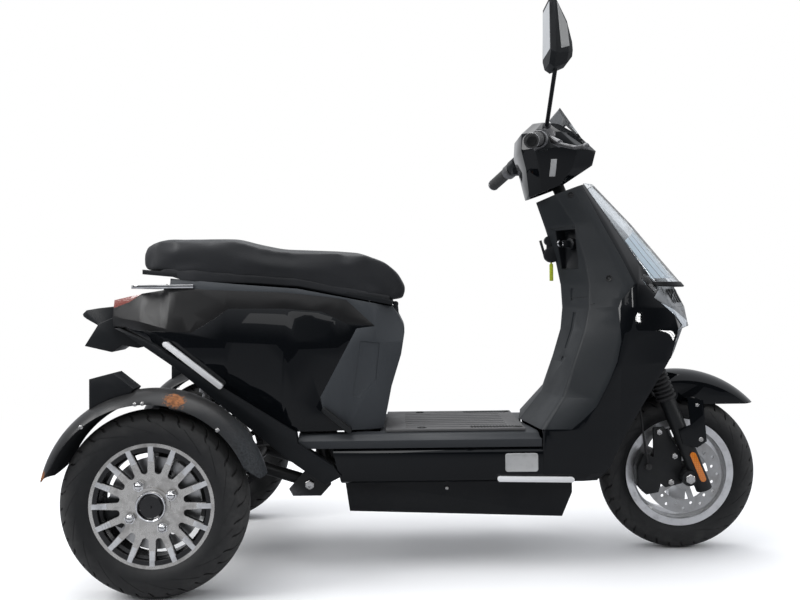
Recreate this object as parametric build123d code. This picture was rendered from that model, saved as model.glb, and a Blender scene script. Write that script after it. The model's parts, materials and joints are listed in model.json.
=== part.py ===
from build123d import *
import math
import os

# Electric trike. Millimetres, +X forward, +Y left, +Z up, origin on the ground at the box centre.

# Wheels
rear_axle_x = -606.0
rear_axle_z = 214.0
rear_half_track = 303.0
rear_tyre_radius = 214.0
rear_tyre_half_width = 46.0
front_axle_x = 683.0
front_axle_z = 204.0
front_tyre_radius = 204.0
front_tyre_half_width = 41.0
bead_radius = 127.0
flange_radius = 141.0
rim_wall = 4.0
well_depth = 6.0
rear_rim_half_width = 33.0
front_rim_half_width = 31.0
tyre_seat_gap = 0.3
shoulder_share = 0.86
shoulder_drop = 16.0

# Rear rim face, hub and brake
spoke_count = 16
spoke_width = 12.5
spoke_root_radius = 73.0
spoke_face_depth = 11.0
spoke_face_inset = 2.0
hub_cap_radius = 29.0
hub_ring_radius = 36.0
wheel_nut_count = 4
wheel_nut_circle = 53.0
wheel_nut_radius = 9.0
wheel_nut_angle = -29.0
rear_disc_radius = 105.0
disc_thickness = 4.0
rear_hub_radius = 30.0
drive_shaft_radius = 13.0
shaft_clearance = 0.3
pad_clearance = 1.0
caliper_arm = 8.0

# Front wheel
front_disc_radius = 100.0
front_disc_y = -56.0
disc_hole_radius = 4.0
disc_hole_count = 12
front_hub_radius = 27.0
front_hub_half_length = 50.0
front_axle_radius = 7.5
axle_bore_clearance = 0.5
front_spoke_count = 3
front_spoke_width = 40.0
front_spoke_half = 11.0
front_boss_radius = 42.0

# Steering
steering_lean = 22.0
fork_half_spacing = 85.0
fork_lead = 28.0
fork_lower_radius = 20.0
fork_upper_radius = 15.0
fork_foot = -44.0
fork_lug_radius = 19.0
fork_slider_top = 205.0
gaiter_radius = 26.0
gaiter_rib_count = 7
yoke_height = 300.0
yoke_thickness = 26.0
gaiter_top = yoke_height - 18.0
stem_radius = 16.0
stem_top = 925.0
head_tube_radius = 27.0
head_tube_low = yoke_height + yoke_thickness + 19.0
head_tube_high = head_tube_low + 175.0
head_clearance = 0.3

# Front fender
fender_side = 56.0
fender_wall = 3.5
front_crown_radius = 270.0
front_shoulder_radius = 244.0

# Handlebar
bar_radius = 11.0
bar_bend = 40.0
grip_radius = 17.0
grip_inner_y = 218.0
grip_outer_y = 345.0
bar_clamp = (336.0, 0.0, 1062.0)
bar_shoulder = (318.0, 120.0, 1070.0)
bar_end = (248.0, 345.0, 1016.0)
switch_y = 192.0
switch_length = 40.0
switch_radius = 21.0
pod_wall = 3.0
mirror_middle_y = -292.0

# Body
body_wall = 4.0
body_corner = 34.0
nose_corner = 14.0
recess_depth = 2.0
lock_depth = 56.0
lock_width = 68.0
lock_height = 104.0
lock_wall = 2.5
louvre_count = 4
louvre_pitch = 13.0
louvre_width = 6.0
lamp_half_width = 46.0
hook_radius = 21.0
skirt_half_width = 170.0
deck_half_width = 165.0
mat_half_width = 143.0
deck_top = 339.0
deck_under = 303.0
mat_thickness = 6.0
mat_rear_x = -86.0
mat_front_x = 262.0
sill_bottom = 215.0
sill_rear_x = -215.0
sill_front_x = 300.0
battery_half_width = 100.0
pedestal_wall = 4.0
tail_closed_x = -630.0
beam_outer_y = 172.0
beam_inner_y = 142.0
rail_low = 702.0
rail_thickness = 9.0
strip_width = 13.0
strip_stand = 6.0
fin_half_width = 48.0
reflector_width = 15.0
hose_radius = 2.6
hose_bend = 30.0

# Frame
frame_tube_radius = 17.0
rail_half_spacing = 118.0
rail_z = 250.0
cross_tube_x = (384.0, 60.0, -210.0)
pivot = (-278.0, 206.0)
axle_tube_radius = 30.0
axle_tube_end = rear_half_track - 41.0
motor_radius = 88.0
motor_half_length = 82.0
shock_y = 116.0
shock_body_radius = 12.0
spring_radius = 22.0
spring_turns = 9

# Rear fenders
fender_crown_radius = 261.0
fender_edge_radius = 231.0
fender_half_width = 62.0
fender_sheet = 2.5
fender_end_round = 50.0
lamp_box_half_width = 27.0
fender_front_angle = 14.0
fender_rear_angle = 167.0

# Seat
seat_half_width = 138.0
seat_base_thickness = 12.0
seat_gap = 0.3
cut_half_width = 260.0
seat_hinge = (-58.0, 655.0)
bucket_wall = 3.0
hinge_radius = 7.0
hinge_pin_radius = 4.0
pin_clearance = 0.3
knuckle_half_width = 30.0
lug_thickness = 6.0


def side_face(points):
    """Closed outline of (x, z) points, standing in the plane of the trike's centre."""
    return Plane.XZ * make_face(Polyline(*points, close=True))


def side_plate(points, low_y, high_y):
    """Plate of that outline between two y values."""
    return Pos(0, low_y, 0) * extrude(side_face(points), amount=high_y - low_y, dir=(0, 1, 0))


def across(points):
    """Plate of that outline through the whole width, to cut the body with."""
    return side_plate(points, -cut_half_width, cut_half_width)


def both_sides(solid):
    """The solid and its mirror image across the centre plane."""
    return Compound(children=list(solid.solids()) + list(mirror(solid, about=Plane.XZ).solids()))


def turned(points):
    """Solid of revolution about the y axis; points are (y, radius)."""
    return revolve(Plane.YZ * make_face(Polyline(*points, close=True)), axis=Axis.Y)


def wheel_disc(radius, low_y, high_y):
    """Disc about the y axis."""
    return Pos(0, (low_y + high_y) / 2, 0) * Rot(90, 0, 0) * Cylinder(radius, high_y - low_y)


def rod(start, end, radius):
    """Straight round bar between two points."""
    line = Vector(*end) - Vector(*start)
    return extrude(Plane(origin=start, z_dir=line) * Circle(radius), amount=line.length)


def bent_tube(points, radius, bend):
    """Round bar along straight runs joined by arcs."""
    path = FilletPolyline(*points, radius=bend)
    return sweep(Plane(origin=path @ 0, z_dir=path % 0) * Circle(radius), path=path)


def slab(low, high):
    """Box between two corners."""
    size = [b - a for a, b in zip(low, high)]
    return Pos(*[(a + b) / 2 for a, b in zip(low, high)]) * Box(*size)


def tyre(radius, half_width, rim_half_width):
    """Tyre ring from the bead seat to the tread, with round shoulders."""
    seat = bead_radius + tyre_seat_gap
    inner = rim_half_width - rim_wall - tyre_seat_gap
    lip = flange_radius + tyre_seat_gap
    waist = radius * 0.5 + lip * 0.44
    shoulder = half_width * shoulder_share
    section = [
        Line((inner, seat), (inner, lip)),
        Line((inner, lip), (rim_half_width, lip)),
        ThreePointArc((rim_half_width, lip), (half_width, waist), (shoulder, radius - shoulder_drop)),
        ThreePointArc((shoulder, radius - shoulder_drop), (0, radius), (-shoulder, radius - shoulder_drop)),
        ThreePointArc((-shoulder, radius - shoulder_drop), (-half_width, waist), (-rim_half_width, lip)),
        Line((-rim_half_width, lip), (-inner, lip)),
        Line((-inner, lip), (-inner, seat)),
        Line((-inner, seat), (inner, seat)),
    ]
    return revolve(Plane.YZ * make_face(section), axis=Axis.Y)


def rim_barrel(half_width):
    """Rim barrel with two flanges, bead seats and a shallow well."""
    well = bead_radius - well_depth
    inner_seat = bead_radius - rim_wall
    inner_well = well - rim_wall
    flange_y = half_width - rim_wall
    return turned([
        (half_width, flange_radius), (flange_y, flange_radius), (flange_y, bead_radius),
        (half_width * 0.55, bead_radius), (half_width * 0.4, well), (-half_width * 0.4, well),
        (-half_width * 0.55, bead_radius), (-flange_y, bead_radius), (-flange_y, flange_radius),
        (-half_width, flange_radius), (-half_width, inner_seat), (-half_width * 0.6, inner_seat),
        (-half_width * 0.45, inner_well), (half_width * 0.45, inner_well),
        (half_width * 0.6, inner_seat), (half_width, inner_seat),
    ])


def rear_rim():
    """Sixteen-spoke rim, outer face towards +Y, about its own centre."""
    face_high = rear_rim_half_width - spoke_face_inset
    face_low = face_high - spoke_face_depth
    plate = wheel_disc(bead_radius - 1, face_low, face_high)
    pitch = 360 / spoke_count
    slot_outer = bead_radius - rim_wall
    inner_half = spoke_root_radius * math.sin(math.radians(pitch / 2)) - spoke_width / 2
    outer_half = slot_outer * math.sin(math.radians(pitch / 2)) - spoke_width / 2
    arc_x = spoke_root_radius + inner_half
    slot = make_face(Polyline((arc_x, -inner_half), (slot_outer, -outer_half),
                              (slot_outer, outer_half), (arc_x, inner_half), close=True))
    slot = slot + Pos(arc_x, 0) * Circle(inner_half)
    cutter = Pos(0, face_high + 1, 0) * Rot(90, 0, 0) * extrude(slot, amount=spoke_face_depth + 2)
    for k in range(spoke_count):
        plate -= Rot(0, pitch * (k + 0.5), 0) * cutter
    ring = wheel_disc(bead_radius, face_low, face_high) - wheel_disc(slot_outer, face_low, face_high)
    rim = rim_barrel(rear_rim_half_width) + plate + ring
    rim += wheel_disc(hub_ring_radius + 6, face_low - 4, face_high + 2)
    rim -= wheel_disc(hub_cap_radius + tyre_seat_gap, face_high - 4, face_high + 3)
    nut_well = Pos(wheel_nut_circle, 0, 0) * wheel_disc(wheel_nut_radius + 2, face_high - 4, face_high + 1)
    for k in range(wheel_nut_count):
        rim -= Rot(0, wheel_nut_angle + 360 / wheel_nut_count * k, 0) * nut_well
    return rim


def rear_hub():
    """Centre cap, nuts, hub flange and drive shaft of one rear wheel, outer side towards +Y."""
    face_high = rear_rim_half_width - spoke_face_inset
    face_low = face_high - spoke_face_depth
    cap = turned([(face_high - 4, 0), (face_high - 4, hub_cap_radius), (face_high + 4, hub_cap_radius),
                  (face_high + 7, hub_cap_radius - 5), (face_high + 8, 0)])
    nut = turned([(face_high - 4, 0), (face_high - 4, wheel_nut_radius), (face_high + 6, wheel_nut_radius),
                  (face_high + 11, wheel_nut_radius * 0.6), (face_high + 13, 0)])
    nuts = []
    for k in range(wheel_nut_count):
        turn = wheel_nut_angle + 360 / wheel_nut_count * k
        nuts.append(Rot(0, turn, 0) * Pos(wheel_nut_circle, 0, 0) * nut)
    flange = wheel_disc(62, disc_thickness, face_low - 4)
    shaft = wheel_disc(drive_shaft_radius, axle_tube_end - 60 - rear_half_track, 0)
    core = wheel_disc(rear_hub_radius - 8, -18, 0)
    return [cap] + nuts + [flange + core + shaft]


def rear_disc():
    """Plain brake disc with its carrier bolt ring."""
    ring = wheel_disc(rear_disc_radius, 0, disc_thickness) - wheel_disc(rear_hub_radius, -1, disc_thickness + 1)
    for k in range(6):
        ring -= Rot(0, 60 * k, 0) * Pos(76, 0, 0) * wheel_disc(7, -1, disc_thickness + 1)
    return ring


def rear_caliper():
    """Caliper that bridges the disc behind the axle, with its bracket to the axle tube."""
    low = axle_tube_end + caliper_arm - rear_half_track
    high = disc_thickness + pad_clearance + 9
    body = side_plate([(-112, -12), (-104, -42), (-74, -54), (-62, -30), (-62, 6), (-108, 14)], low, high)
    body &= wheel_disc(rear_disc_radius + 7, low, high)
    body -= wheel_disc(rear_disc_radius + 2, -pad_clearance, disc_thickness + pad_clearance)
    tube = axle_tube_radius
    outline = [(-84, -34), (-20, -tube - 8), (0, -tube - 12), (20, -tube - 4), (20, tube + 4), (-20, tube + 4), (-84, 4)]
    arm = side_plate(outline, low - caliper_arm, low)
    arm -= wheel_disc(drive_shaft_radius + shaft_clearance, low - caliper_arm - 1, low + 1)
    return [body + arm]


def rear_fender():
    """Sheet mudguard round one rear tyre, outer side towards +Y, about the wheel centre."""
    rise = fender_crown_radius
    edge = fender_edge_radius
    half = fender_half_width
    sheet = fender_sheet
    section = make_face([
        ThreePointArc((-half, edge), (0, rise), (half, edge)),
        Line((half, edge), (half - sheet, edge)),
        ThreePointArc((half - sheet, edge), (0, rise - sheet), (-half + sheet, edge)),
        Line((-half + sheet, edge), (-half, edge)),
    ])
    start = Rot(0, 90 - fender_front_angle, 0) * (Plane.YZ * section)
    swept = revolve(start, axis=Axis((0, 0, 0), (0, -1, 0)), revolution_arc=fender_rear_angle - fender_front_angle)
    stay = side_plate([(-16, 20), (16, 20), (10, edge + 6), (-10, edge + 6)], -half - 8, -half - 3)
    lip = slab((-14, -half - 8, edge + 1), (14, -half + 4, edge + 6))
    for angle, ahead in ((fender_front_angle, 1), (fender_rear_angle, -1)):
        low = edge * math.sin(math.radians(angle))
        corner = Pos(half - fender_end_round, low + fender_end_round) * (
            Pos(fender_end_round / 2, -fender_end_round / 2) * Rectangle(fender_end_round, fender_end_round)
            - Circle(fender_end_round))
        cutter = extrude(Plane.YZ * (corner + mirror(corner, about=Plane.YZ)), amount=ahead * rise)
        swept -= cutter
    return [swept + (stay - wheel_disc(axle_tube_radius, -half - 9, -half)) + lip]


def steering_place(across, lead, height):
    """Point in the trike's frame from steering coordinates: y, distance ahead, height along the axis."""
    lean = math.radians(steering_lean)
    x = front_axle_x + lead * math.cos(lean) - height * math.sin(lean)
    z = front_axle_z + lead * math.sin(lean) + height * math.cos(lean)
    return (x, across, z)


def fork():
    """Two legs, axle lugs, lower yoke and stem as one welded piece."""
    pieces = []
    for side in (-1, 1):
        y = side * fork_half_spacing
        foot = steering_place(y, fork_lead, fork_foot)
        neck = steering_place(y, fork_lead, fork_slider_top)
        slider = rod(foot, neck, fork_lower_radius)
        tube = rod(neck, steering_place(y, fork_lead, yoke_height + yoke_thickness + 8), fork_upper_radius)
        lug_half = fork_lower_radius - 1
        lug = Pos(front_axle_x, y, front_axle_z) * wheel_disc(fork_lug_radius, -lug_half, lug_half)
        pieces.append(slider + tube + lug)
    lean_plane = Plane(origin=steering_place(0, 0, yoke_height), x_dir=steering_direction_x(),
                       z_dir=steering_direction_z())
    half = fork_half_spacing
    outline = make_face(Polyline((fork_lead + 24, -half - 20), (fork_lead + 24, half + 20), (fork_lead - 18, half + 24),
                                 (-30, 34), (-30, -34), (fork_lead - 18, -half - 24), close=True))
    yoke = extrude(lean_plane * outline, amount=yoke_thickness)
    stem = rod(steering_place(0, 0, yoke_height), steering_place(0, 0, stem_top), stem_radius)
    body = pieces[0] + pieces[1] + yoke + stem
    body -= Pos(front_axle_x, 0, front_axle_z) * wheel_disc(front_axle_radius, -110, 110)
    return [body]


def steering_direction_x():
    """Unit vector ahead, square to the steering axis."""
    lean = math.radians(steering_lean)
    return (math.cos(lean), 0, math.sin(lean))


def steering_direction_z():
    """Unit vector up the steering axis."""
    lean = math.radians(steering_lean)
    return (-math.sin(lean), 0, math.cos(lean))


def fork_gaiters():
    """Ribbed rubber sleeves between the sliders and the yoke."""
    sleeves = []
    length = gaiter_top - fork_slider_top
    pitch = length / gaiter_rib_count
    outline = [(fork_upper_radius + tyre_seat_gap, 0)]
    for k in range(gaiter_rib_count):
        low = k * pitch
        outline += [(gaiter_radius - 5, low), (gaiter_radius, low + 0.35 * pitch), (gaiter_radius, low + 0.7 * pitch)]
    outline += [(gaiter_radius - 5, length), (fork_upper_radius + tyre_seat_gap, length)]
    section = Plane.XZ * make_face(Polyline(*outline, close=True))
    sleeve = revolve(section, axis=Axis.Z)
    for side in (-1, 1):
        place = Plane(origin=steering_place(side * fork_half_spacing, fork_lead, fork_slider_top),
                      x_dir=steering_direction_x(), z_dir=steering_direction_z())
        sleeves += list((place.location * sleeve).solids())
    return sleeves


def front_rim():
    """Cast rim with wide spokes and open gaps between them."""
    half = front_spoke_half
    barrel = rim_barrel(front_rim_half_width)
    plate = wheel_disc(bead_radius - well_depth - 1, -half, half)
    turn = 180 / front_spoke_count
    inner = front_boss_radius / math.cos(math.radians(turn)) * 0.62
    outer = bead_radius - well_depth - rim_wall - 2
    root = front_spoke_width / 2
    rise = outer * math.cos(math.radians(turn))
    far = (rise + root * 0.4, outer * math.sin(math.radians(turn)) - root * 1.2)
    near = (front_boss_radius, inner * 0.5)
    window = make_face([
        Line((near[0], -near[1]), (far[0], -far[1])), ThreePointArc((far[0], -far[1]), (outer, 0), far),
        Line(far, near), Line(near, (near[0], -near[1]))])
    cutter = Pos(0, half + 1, 0) * Rot(90, 0, 0) * extrude(window, amount=2 * half + 2)
    for k in range(front_spoke_count):
        plate -= Rot(0, 30 + 360 / front_spoke_count * k, 0) * cutter
    rim = barrel + plate + wheel_disc(front_hub_radius, -front_hub_half_length, front_hub_half_length)
    rim -= wheel_disc(front_axle_radius + axle_bore_clearance, -front_hub_half_length - 1, front_hub_half_length + 1)
    return rim


def front_disc():
    """Drilled brake disc on its carrier, right of the hub."""
    low = front_disc_y
    high = front_disc_y + disc_thickness
    disc = wheel_disc(front_disc_radius, low, high) - wheel_disc(front_disc_radius - 34, low - 1, high + 1)
    disc += wheel_disc(front_disc_radius * 0.36, low, high)
    for k in range(5):
        disc += Rot(0, 72 * k, 0) * slab((20, low, -7), (front_disc_radius - 30, high, 7))
    disc -= wheel_disc(front_axle_radius + axle_bore_clearance, low - 1, high + 1)
    hole = wheel_disc(disc_hole_radius, low - 1, high + 1)
    for k in range(disc_hole_count):
        turn = 360 / disc_hole_count * k
        disc -= Rot(0, turn, 0) * Pos(front_disc_radius - 12, 0, 0) * hole
        disc -= Rot(0, turn + 180 / disc_hole_count, 0) * Pos(front_disc_radius - 23, 0, 0) * hole
    return disc


def front_caliper(fork_body):
    """Two-piston caliper behind the right leg with its bracket plate."""
    low = front_disc_y - 22
    high = front_disc_y + disc_thickness + 11
    body = side_plate([(575, 262), (560, 230), (560, 180), (580, 158), (612, 164), (622, 200), (616, 250)], low, high)
    slot = Pos(front_axle_x, 0, front_axle_z) * wheel_disc(front_disc_radius + 3, front_disc_y - pad_clearance,
                                                          front_disc_y + disc_thickness + pad_clearance)
    body -= slot
    plate = side_plate([(600, 330), (628, 332), (672, 262), (672, 186), (630, 176), (600, 200)], low, low + 8)
    return [body + plate - fork_body]


def arched_ring(half, low, shoulder, crown):
    """Solid ring about the y axis with straight sides and an arched outside."""
    section = make_face([
        Line((-half, low), (-half, shoulder)), ThreePointArc((-half, shoulder), (0, crown), (half, shoulder)),
        Line((half, shoulder), (half, low)), Line((half, low), (-half, low))])
    return revolve(Plane.YZ * section, axis=Axis.Y)


def front_fender():
    """Mudguard over the front tyre, round in section, with its beak and two side stay plates."""
    half = fender_side
    crown = front_crown_radius
    shoulder = front_shoulder_radius
    low = front_tyre_radius - 60
    centre = Pos(front_axle_x, 0, front_axle_z)
    shell = centre * arched_ring(half, low, shoulder, crown)
    shell -= centre * arched_ring(half - fender_wall, low - 1, shoulder - fender_wall, crown - fender_wall)
    shell &= side_plate([(604, 560), (880, 560), (880, 386), (742, 386), (700, 392), (660, 398), (620, 420)],
                        -half - 1, half + 1)
    leg_face = fork_half_spacing + fork_lower_radius + seat_gap
    stay = side_plate([(676, 412), (716, 404), (724, 300), (700, 284), (664, 294), (654, 330), (684, 342)],
                      -leg_face - 4, -leg_face)
    tab = slab((686, -leg_face - 4, 400), (712, -half + 1, 405))
    return [shell + both_sides(stay + tab)]


def handlebar():
    """Bent bar with its clamp on the stem."""
    half = [bar_clamp, bar_shoulder, bar_end]
    left = bent_tube(half, bar_radius, bar_bend)
    bar = left + mirror(left, about=Plane.XZ)
    clamp = Pos(*bar_clamp) * Rot(90, 0, 0) * Cylinder(bar_radius + 9, 60)
    return [bar + clamp - rod(steering_place(0, 0, stem_top - 80), steering_place(0, 0, stem_top), stem_radius)]


def grips():
    """Rubber grips on the bar ends."""
    shoulder = Vector(*bar_shoulder)
    end = Vector(*bar_end)
    run = end - shoulder
    first = shoulder + run * ((grip_inner_y - shoulder.Y) / run.Y)
    left = rod(tuple(first), tuple(end), grip_radius) - rod(tuple(shoulder), tuple(end), bar_radius)
    return both_sides(left)


# Handlebar pod sections: z, rear, front, half width
pod_rows = [
    (925, 296, 410, 48),
    (1000, 283, 458, 84),
    (1047, 270, 468, 96),
    (1090, 272, 428, 86),
    (1120, 296, 398, 60),
]
pod_side = [(296, 929), (385, 962), (459, 1010), (468, 1047), (424, 1088), (372, 1119), (304, 1119), (272, 1090),
            (268, 1050)]


def pod_loft(inset):
    """Solid of the handlebar pod from horizontal sections; a row is z, rear, front, half width."""
    sections = []
    for z, rear, front, half in pod_rows:
        side = [(rear, half * 0.7), (rear + 30, half), (front - 60, half), (front, half * 0.45)]
        outline = make_face(Polyline(*side, *[(x, -y) for x, y in side[::-1]], close=True))
        sections.append(Pos(0, 0, z) * (offset(outline, amount=-inset) if inset else outline))
    return loft(sections, ruled=True)


def handlebar_pod():
    """Hollow shell round the bar centre, open below for the stem."""
    wall = pod_wall
    outer = pod_loft(0) & side_plate(pod_side, -120, 120)
    inner_side = [(290, 900), (440, 960), (456, 1012), (464, 1047), (421, 1085), (371, 1115), (306, 1115), (276, 1088),
                  (272, 1050)]
    inner = pod_loft(wall) & side_plate(inner_side, -120, 120)
    shell = outer - inner
    for side in (-1, 1):
        x, y, z = bar_shoulder
        shell -= rod((x, 0, z), (x - 12, side * 160, z - 2), bar_radius + 5)
    return [shell]


def front_section(row, inset):
    """Horizontal section of the front body; row is z, rear, crease x, y, side x, y, nose side x, y, nose."""
    z, rear, crease_x, crease_y, side_x, side_y, nose_x, nose_y, nose = row
    half = [(rear, 0), (crease_x, crease_y), (side_x, side_y), (nose_x, nose_y), (nose, 0)]
    outline = make_face(Polyline(*half, *[(x, -y) for x, y in half[3:0:-1]], close=True))
    corners = outline.vertices().sort_by(Axis.X)
    outline = fillet(corners[3:5], body_corner)
    corners = outline.vertices().sort_by(Axis.X)
    outline = fillet([corners[0], corners[1], corners[2], corners[-3], corners[-2], corners[-1]], nose_corner)
    if inset:
        outline = offset(outline, amount=-inset)
    return Pos(0, 0, z) * outline


# Front body sections: z, rear, crease x, crease y, side x, side y, nose side x, nose side y, nose
front_rows = [
    (212, 262, 290, 144, 400, 146, 470, 132, 520),
    (235, 262, 290, 166, 420, 167, 500, 140, 560),
    (345, 268, 296, 168, 400, 172, 540, 150, 640),
    (420, 328, 356, 133, 440, 178, 590, 145, 680),
    (500, 355, 384, 130, 480, 184, 625, 138, 706),
    (584, 380, 414, 124, 500, 187, 650, 125, 723),
    (640, 385, 427, 118, 512, 184, 640, 112, 712),
    (700, 381, 430, 111, 520, 172, 600, 104, 682),
    (761, 368, 424, 100, 500, 150, 560, 98, 628),
    (855, 337, 402, 80, 462, 116, 500, 82, 548),
    (975, 298, 328, 54, 408, 68, 424, 50, 440),
]


def front_loft(inset):
    """Solid of the front body from its horizontal sections."""
    return loft([front_section(row, inset) for row in front_rows], ruled=True)


def front_shell():
    """Hollow front body before it is split into its panels."""
    shell = front_loft(0) - front_loft(body_wall)
    arch = across([(440, 180), (440, 215), (470, 250), (500, 315), (550, 400), (617, 503), (676, 588),
                       (740, 588), (740, 180)])
    top = across([(280, 906), (460, 969), (460, 1000), (280, 1000)])
    return shell - arch - top


seam = [(420, 980), (427, 947), (464, 855), (506, 761), (530, 700), (495, 660), (488, 640), (490, 560), (480, 510),
        (460, 460), (430, 400), (400, 370), (370, 345)]
rider_side = across([(180, 345), (180, 980)] + seam)
fork_side = across([(492, 180), (490, 560), (488, 640), (495, 660), (530, 700), (800, 700), (800, 180)])
visor_side = across([(530, 700), (506, 761), (464, 855), (427, 947), (420, 980), (800, 980), (800, 700)])
louvre_side = across([(600, 692), (610, 680), (640, 628), (740, 628), (740, 692)])
turn_lamp_side = (across([(552, 712), (566, 724), (600, 716), (600, 692), (610, 680), (596, 670)])
                  - slab((500, -70, 640), (760, 70, 760)))


lock_place = Pos(388, -52, 792) * Rot(0, 0, 33)


def leg_shield(shell):
    """Matte leg shield with its lock recess hole and slots."""
    panel = shell & rider_side
    skin = front_loft(0) - front_loft(recess_depth)
    slots = slab((340, -68, 536), (420, -54, 628)) + slab((340, -52, 658), (420, -41, 690))
    slots += Pos(372, -62, 508) * Rot(0, 90, 0) * Cylinder(7, 60)
    panel -= skin & (slots + mirror(slots, about=Plane.XZ))
    return [panel - lock_place * Box(lock_depth, lock_width, lock_height)]


def skirts(shell, beams):
    """Gloss lower side mouldings that sweep up in front to meet the leg shield."""
    front = shell - rider_side - fork_side - visor_side
    front -= slab((150, -120, 180), (500, 120, 380))
    front -= slab((150, -260, 180), (300, 260, 345))
    half = skirt_half_width
    inner = half - body_wall
    section = make_face(Polyline((-120, 300), (10 - half, 300), (2 - half, 292), (-half, 262), (6 - half, 222),
                                 (20 - half, sill_bottom), (-120, sill_bottom), (-120, sill_bottom + body_wall),
                                 (18 - inner, sill_bottom + body_wall), (6 - inner, 226), (-inner, 262), (2 - inner, 290),
                                 (8 - inner, 296), (-120, 296), close=True))
    low = Pos(sill_rear_x, 0, 0) * extrude(Plane.YZ * section, amount=sill_front_x - sill_rear_x)
    low -= side_plate([(-216, 300), (-216, 214), (-195, 214)], -180, -100)
    return list(front.solids()) + list((both_sides(low) - beams).solids())


def front_fairing(shell):
    """Gloss front panel with its nose wedge."""
    return [(shell & (fork_side + visor_side)) - rider_side - louvre_side - turn_lamp_side]


def visor():
    """Clear smoked sheet that stands off the front panel."""
    rows = ((962, 428, 56, 470), (855, 496, 87, 568), (761, 555, 104, 645), (692, 599, 110, 703))
    sections = []
    for z, edge_x, edge_y, middle in rows:
        front = ThreePointArc((edge_x, -edge_y), (middle, 0), (edge_x, edge_y))
        back = ThreePointArc((edge_x - 4, edge_y), (middle - 4, 0), (edge_x - 4, -edge_y))
        outline = make_face([front, Line((edge_x, edge_y), (edge_x - 4, edge_y)), back,
                             Line((edge_x - 4, -edge_y), (edge_x, -edge_y))])
        sections.append(Pos(0, 0, z) * outline)
    return [loft(sections, ruled=True) - front_loft(0)]


def deck(beams):
    """Moulded floor board with its rolled edge."""
    half = deck_half_width
    wall = body_wall
    over = [(half, deck_under), (half, deck_top - 17), (half - 14, deck_top - 4), (half - 26, deck_top)]
    under = [(half - wall, deck_under), (half - wall, deck_top - 19), (half - 16, deck_top - 8), (half - 27, deck_top - wall)]
    left = over + [(-y, z) for y, z in over[::-1]]
    section = make_face(Polyline(*left, *[(-y, z) for y, z in under], *under[::-1], close=True))
    board = Pos(-300, 0, 0) * extrude(Plane.YZ * section, amount=645)
    board -= slab((-301, -132, 290), (-100, 132, 345))
    return board - front_loft(0) - beams


def floor_mat():
    """Grooved rubber mat on the floor board."""
    mat = slab((mat_rear_x, -mat_half_width, deck_top), (mat_front_x, mat_half_width, deck_top + mat_thickness))
    for k in range(-4, 5):
        mat -= slab((mat_rear_x + 50, k * 28 - 3, deck_top + mat_thickness - 2),
                    (mat_front_x - 40, k * 28 + 3, deck_top + mat_thickness + 1))
    return [mat]


def battery_box():
    """Battery case slung under the floor."""
    half = battery_half_width
    case = side_plate([(-192, 214), (-180, 131), (359, 112), (385, 173), (385, 214)], -half, half)
    seat = rail_z - frame_tube_radius - seat_gap
    for x in (-140, 300):
        hanger = slab((x, rail_half_spacing - 12, 206), (x + 24, rail_half_spacing, seat))
        foot = slab((x, half - 2, 206), (x + 24, rail_half_spacing, 212))
        case += both_sides(hanger + foot)
    return [case]


# Rear body sections: x, low z, low half width, middle z, middle half width, high z, high half width
rear_rows = [
    (-36, 340, 104, 560, 116, 650, 92),
    (-110, 340, 128, 560, 136, 690, 122),
    (-200, 300, 150, 560, 160, 710, 134),
    (-330, 290, 158, 560, 172, 716, 138),
    (-480, 400, 160, 570, 172, 724, 138),
    (-620, 500, 150, 600, 158, 734, 118),
    (-642, 514, 144, 606, 150, 698, 114),
    (-700, 560, 120, 620, 126, 690, 100),
    (-790, 600, 60, 630, 64, 674, 50),
]


def rear_section(row, inset):
    """Upright section of the rear body across the trike."""
    x, low, low_half, middle, middle_half, high, high_half = row
    half = [(low_half - inset, low), (middle_half - inset, middle), (high_half - inset, high)]
    outline = make_face(Polyline(*half, *[(-y, z) for y, z in half[::-1]], close=True))
    return Pos(x, 0, 0) * (Plane.YZ * outline)


def rear_loft(inset):
    """Solid of the rear body; an inset one is open below and above."""
    rows = []
    for k, row in enumerate(rear_rows):
        x, low, low_half, middle, middle_half, high, high_half = row
        if inset:
            low_half -= (middle_half - low_half) / (middle - low) * 40
            low -= 40
            rise = 60 if x > tail_closed_x else -inset
            high_half += (high_half - middle_half) / (high - middle) * rise
            high += rise
        if k == 0:
            x -= inset
        if k == len(rear_rows) - 1:
            x += inset
        rows.append((x, low, low_half, middle, middle_half, high, high_half))
    return loft([rear_section(row, inset) for row in rows], ruled=True)


def rear_shell():
    """Hollow rear body, its front wall on the pedestal's raked line."""
    ahead = across([(-66, 780)] + pedestal_front + [(-92, 280), (40, 280), (40, 780)])
    outer = rear_loft(0) - ahead
    inner = rear_loft(pedestal_wall) - Pos(-pedestal_wall, 0, 0) * ahead
    return outer - inner


seat_line = [(-66, 650), (-300, 697), (-450, 710), (-622, 727)]
facet_line = [(-110, 602), (-180, 668), (-220, 675), (-330, 688), (-520, 697), (-622, 706)]
gloss_top = [(-110, 602), (-180, 610), (-240, 640), (-330, 648), (-470, 650), (-500, 628), (-560, 592), (-720, 598)]
pedestal_rear = [(-110, 602), (-155, 597), (-245, 430), (-240, 400), (-180, 345)]
beam_top = [(-745, 606), (-650, 563), (-305, 345)]
pedestal_front = [(-66, 650), (-50, 628), (-38, 603), (-35, 590), (-45, 530), (-70, 450), (-80, 400), (-92, 345)]
pedestal_side = across(pedestal_front + pedestal_rear[::-1] + facet_line[1:] + seat_line[:0:-1])
cowl_rear = [(-642, 720), (-800, 720), (-800, 606), (-745, 606)]
cowl_side = across(facet_line + cowl_rear + gloss_top[::-1][:-1])
lamp_side = across([(-800, 650), (-740, 668), (-700, 690), (-700, 740), (-800, 740)])
gloss_side = across(gloss_top + [(-745, 604), (-650, 561), (-305, 345)] + pedestal_rear[:0:-1])


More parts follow.
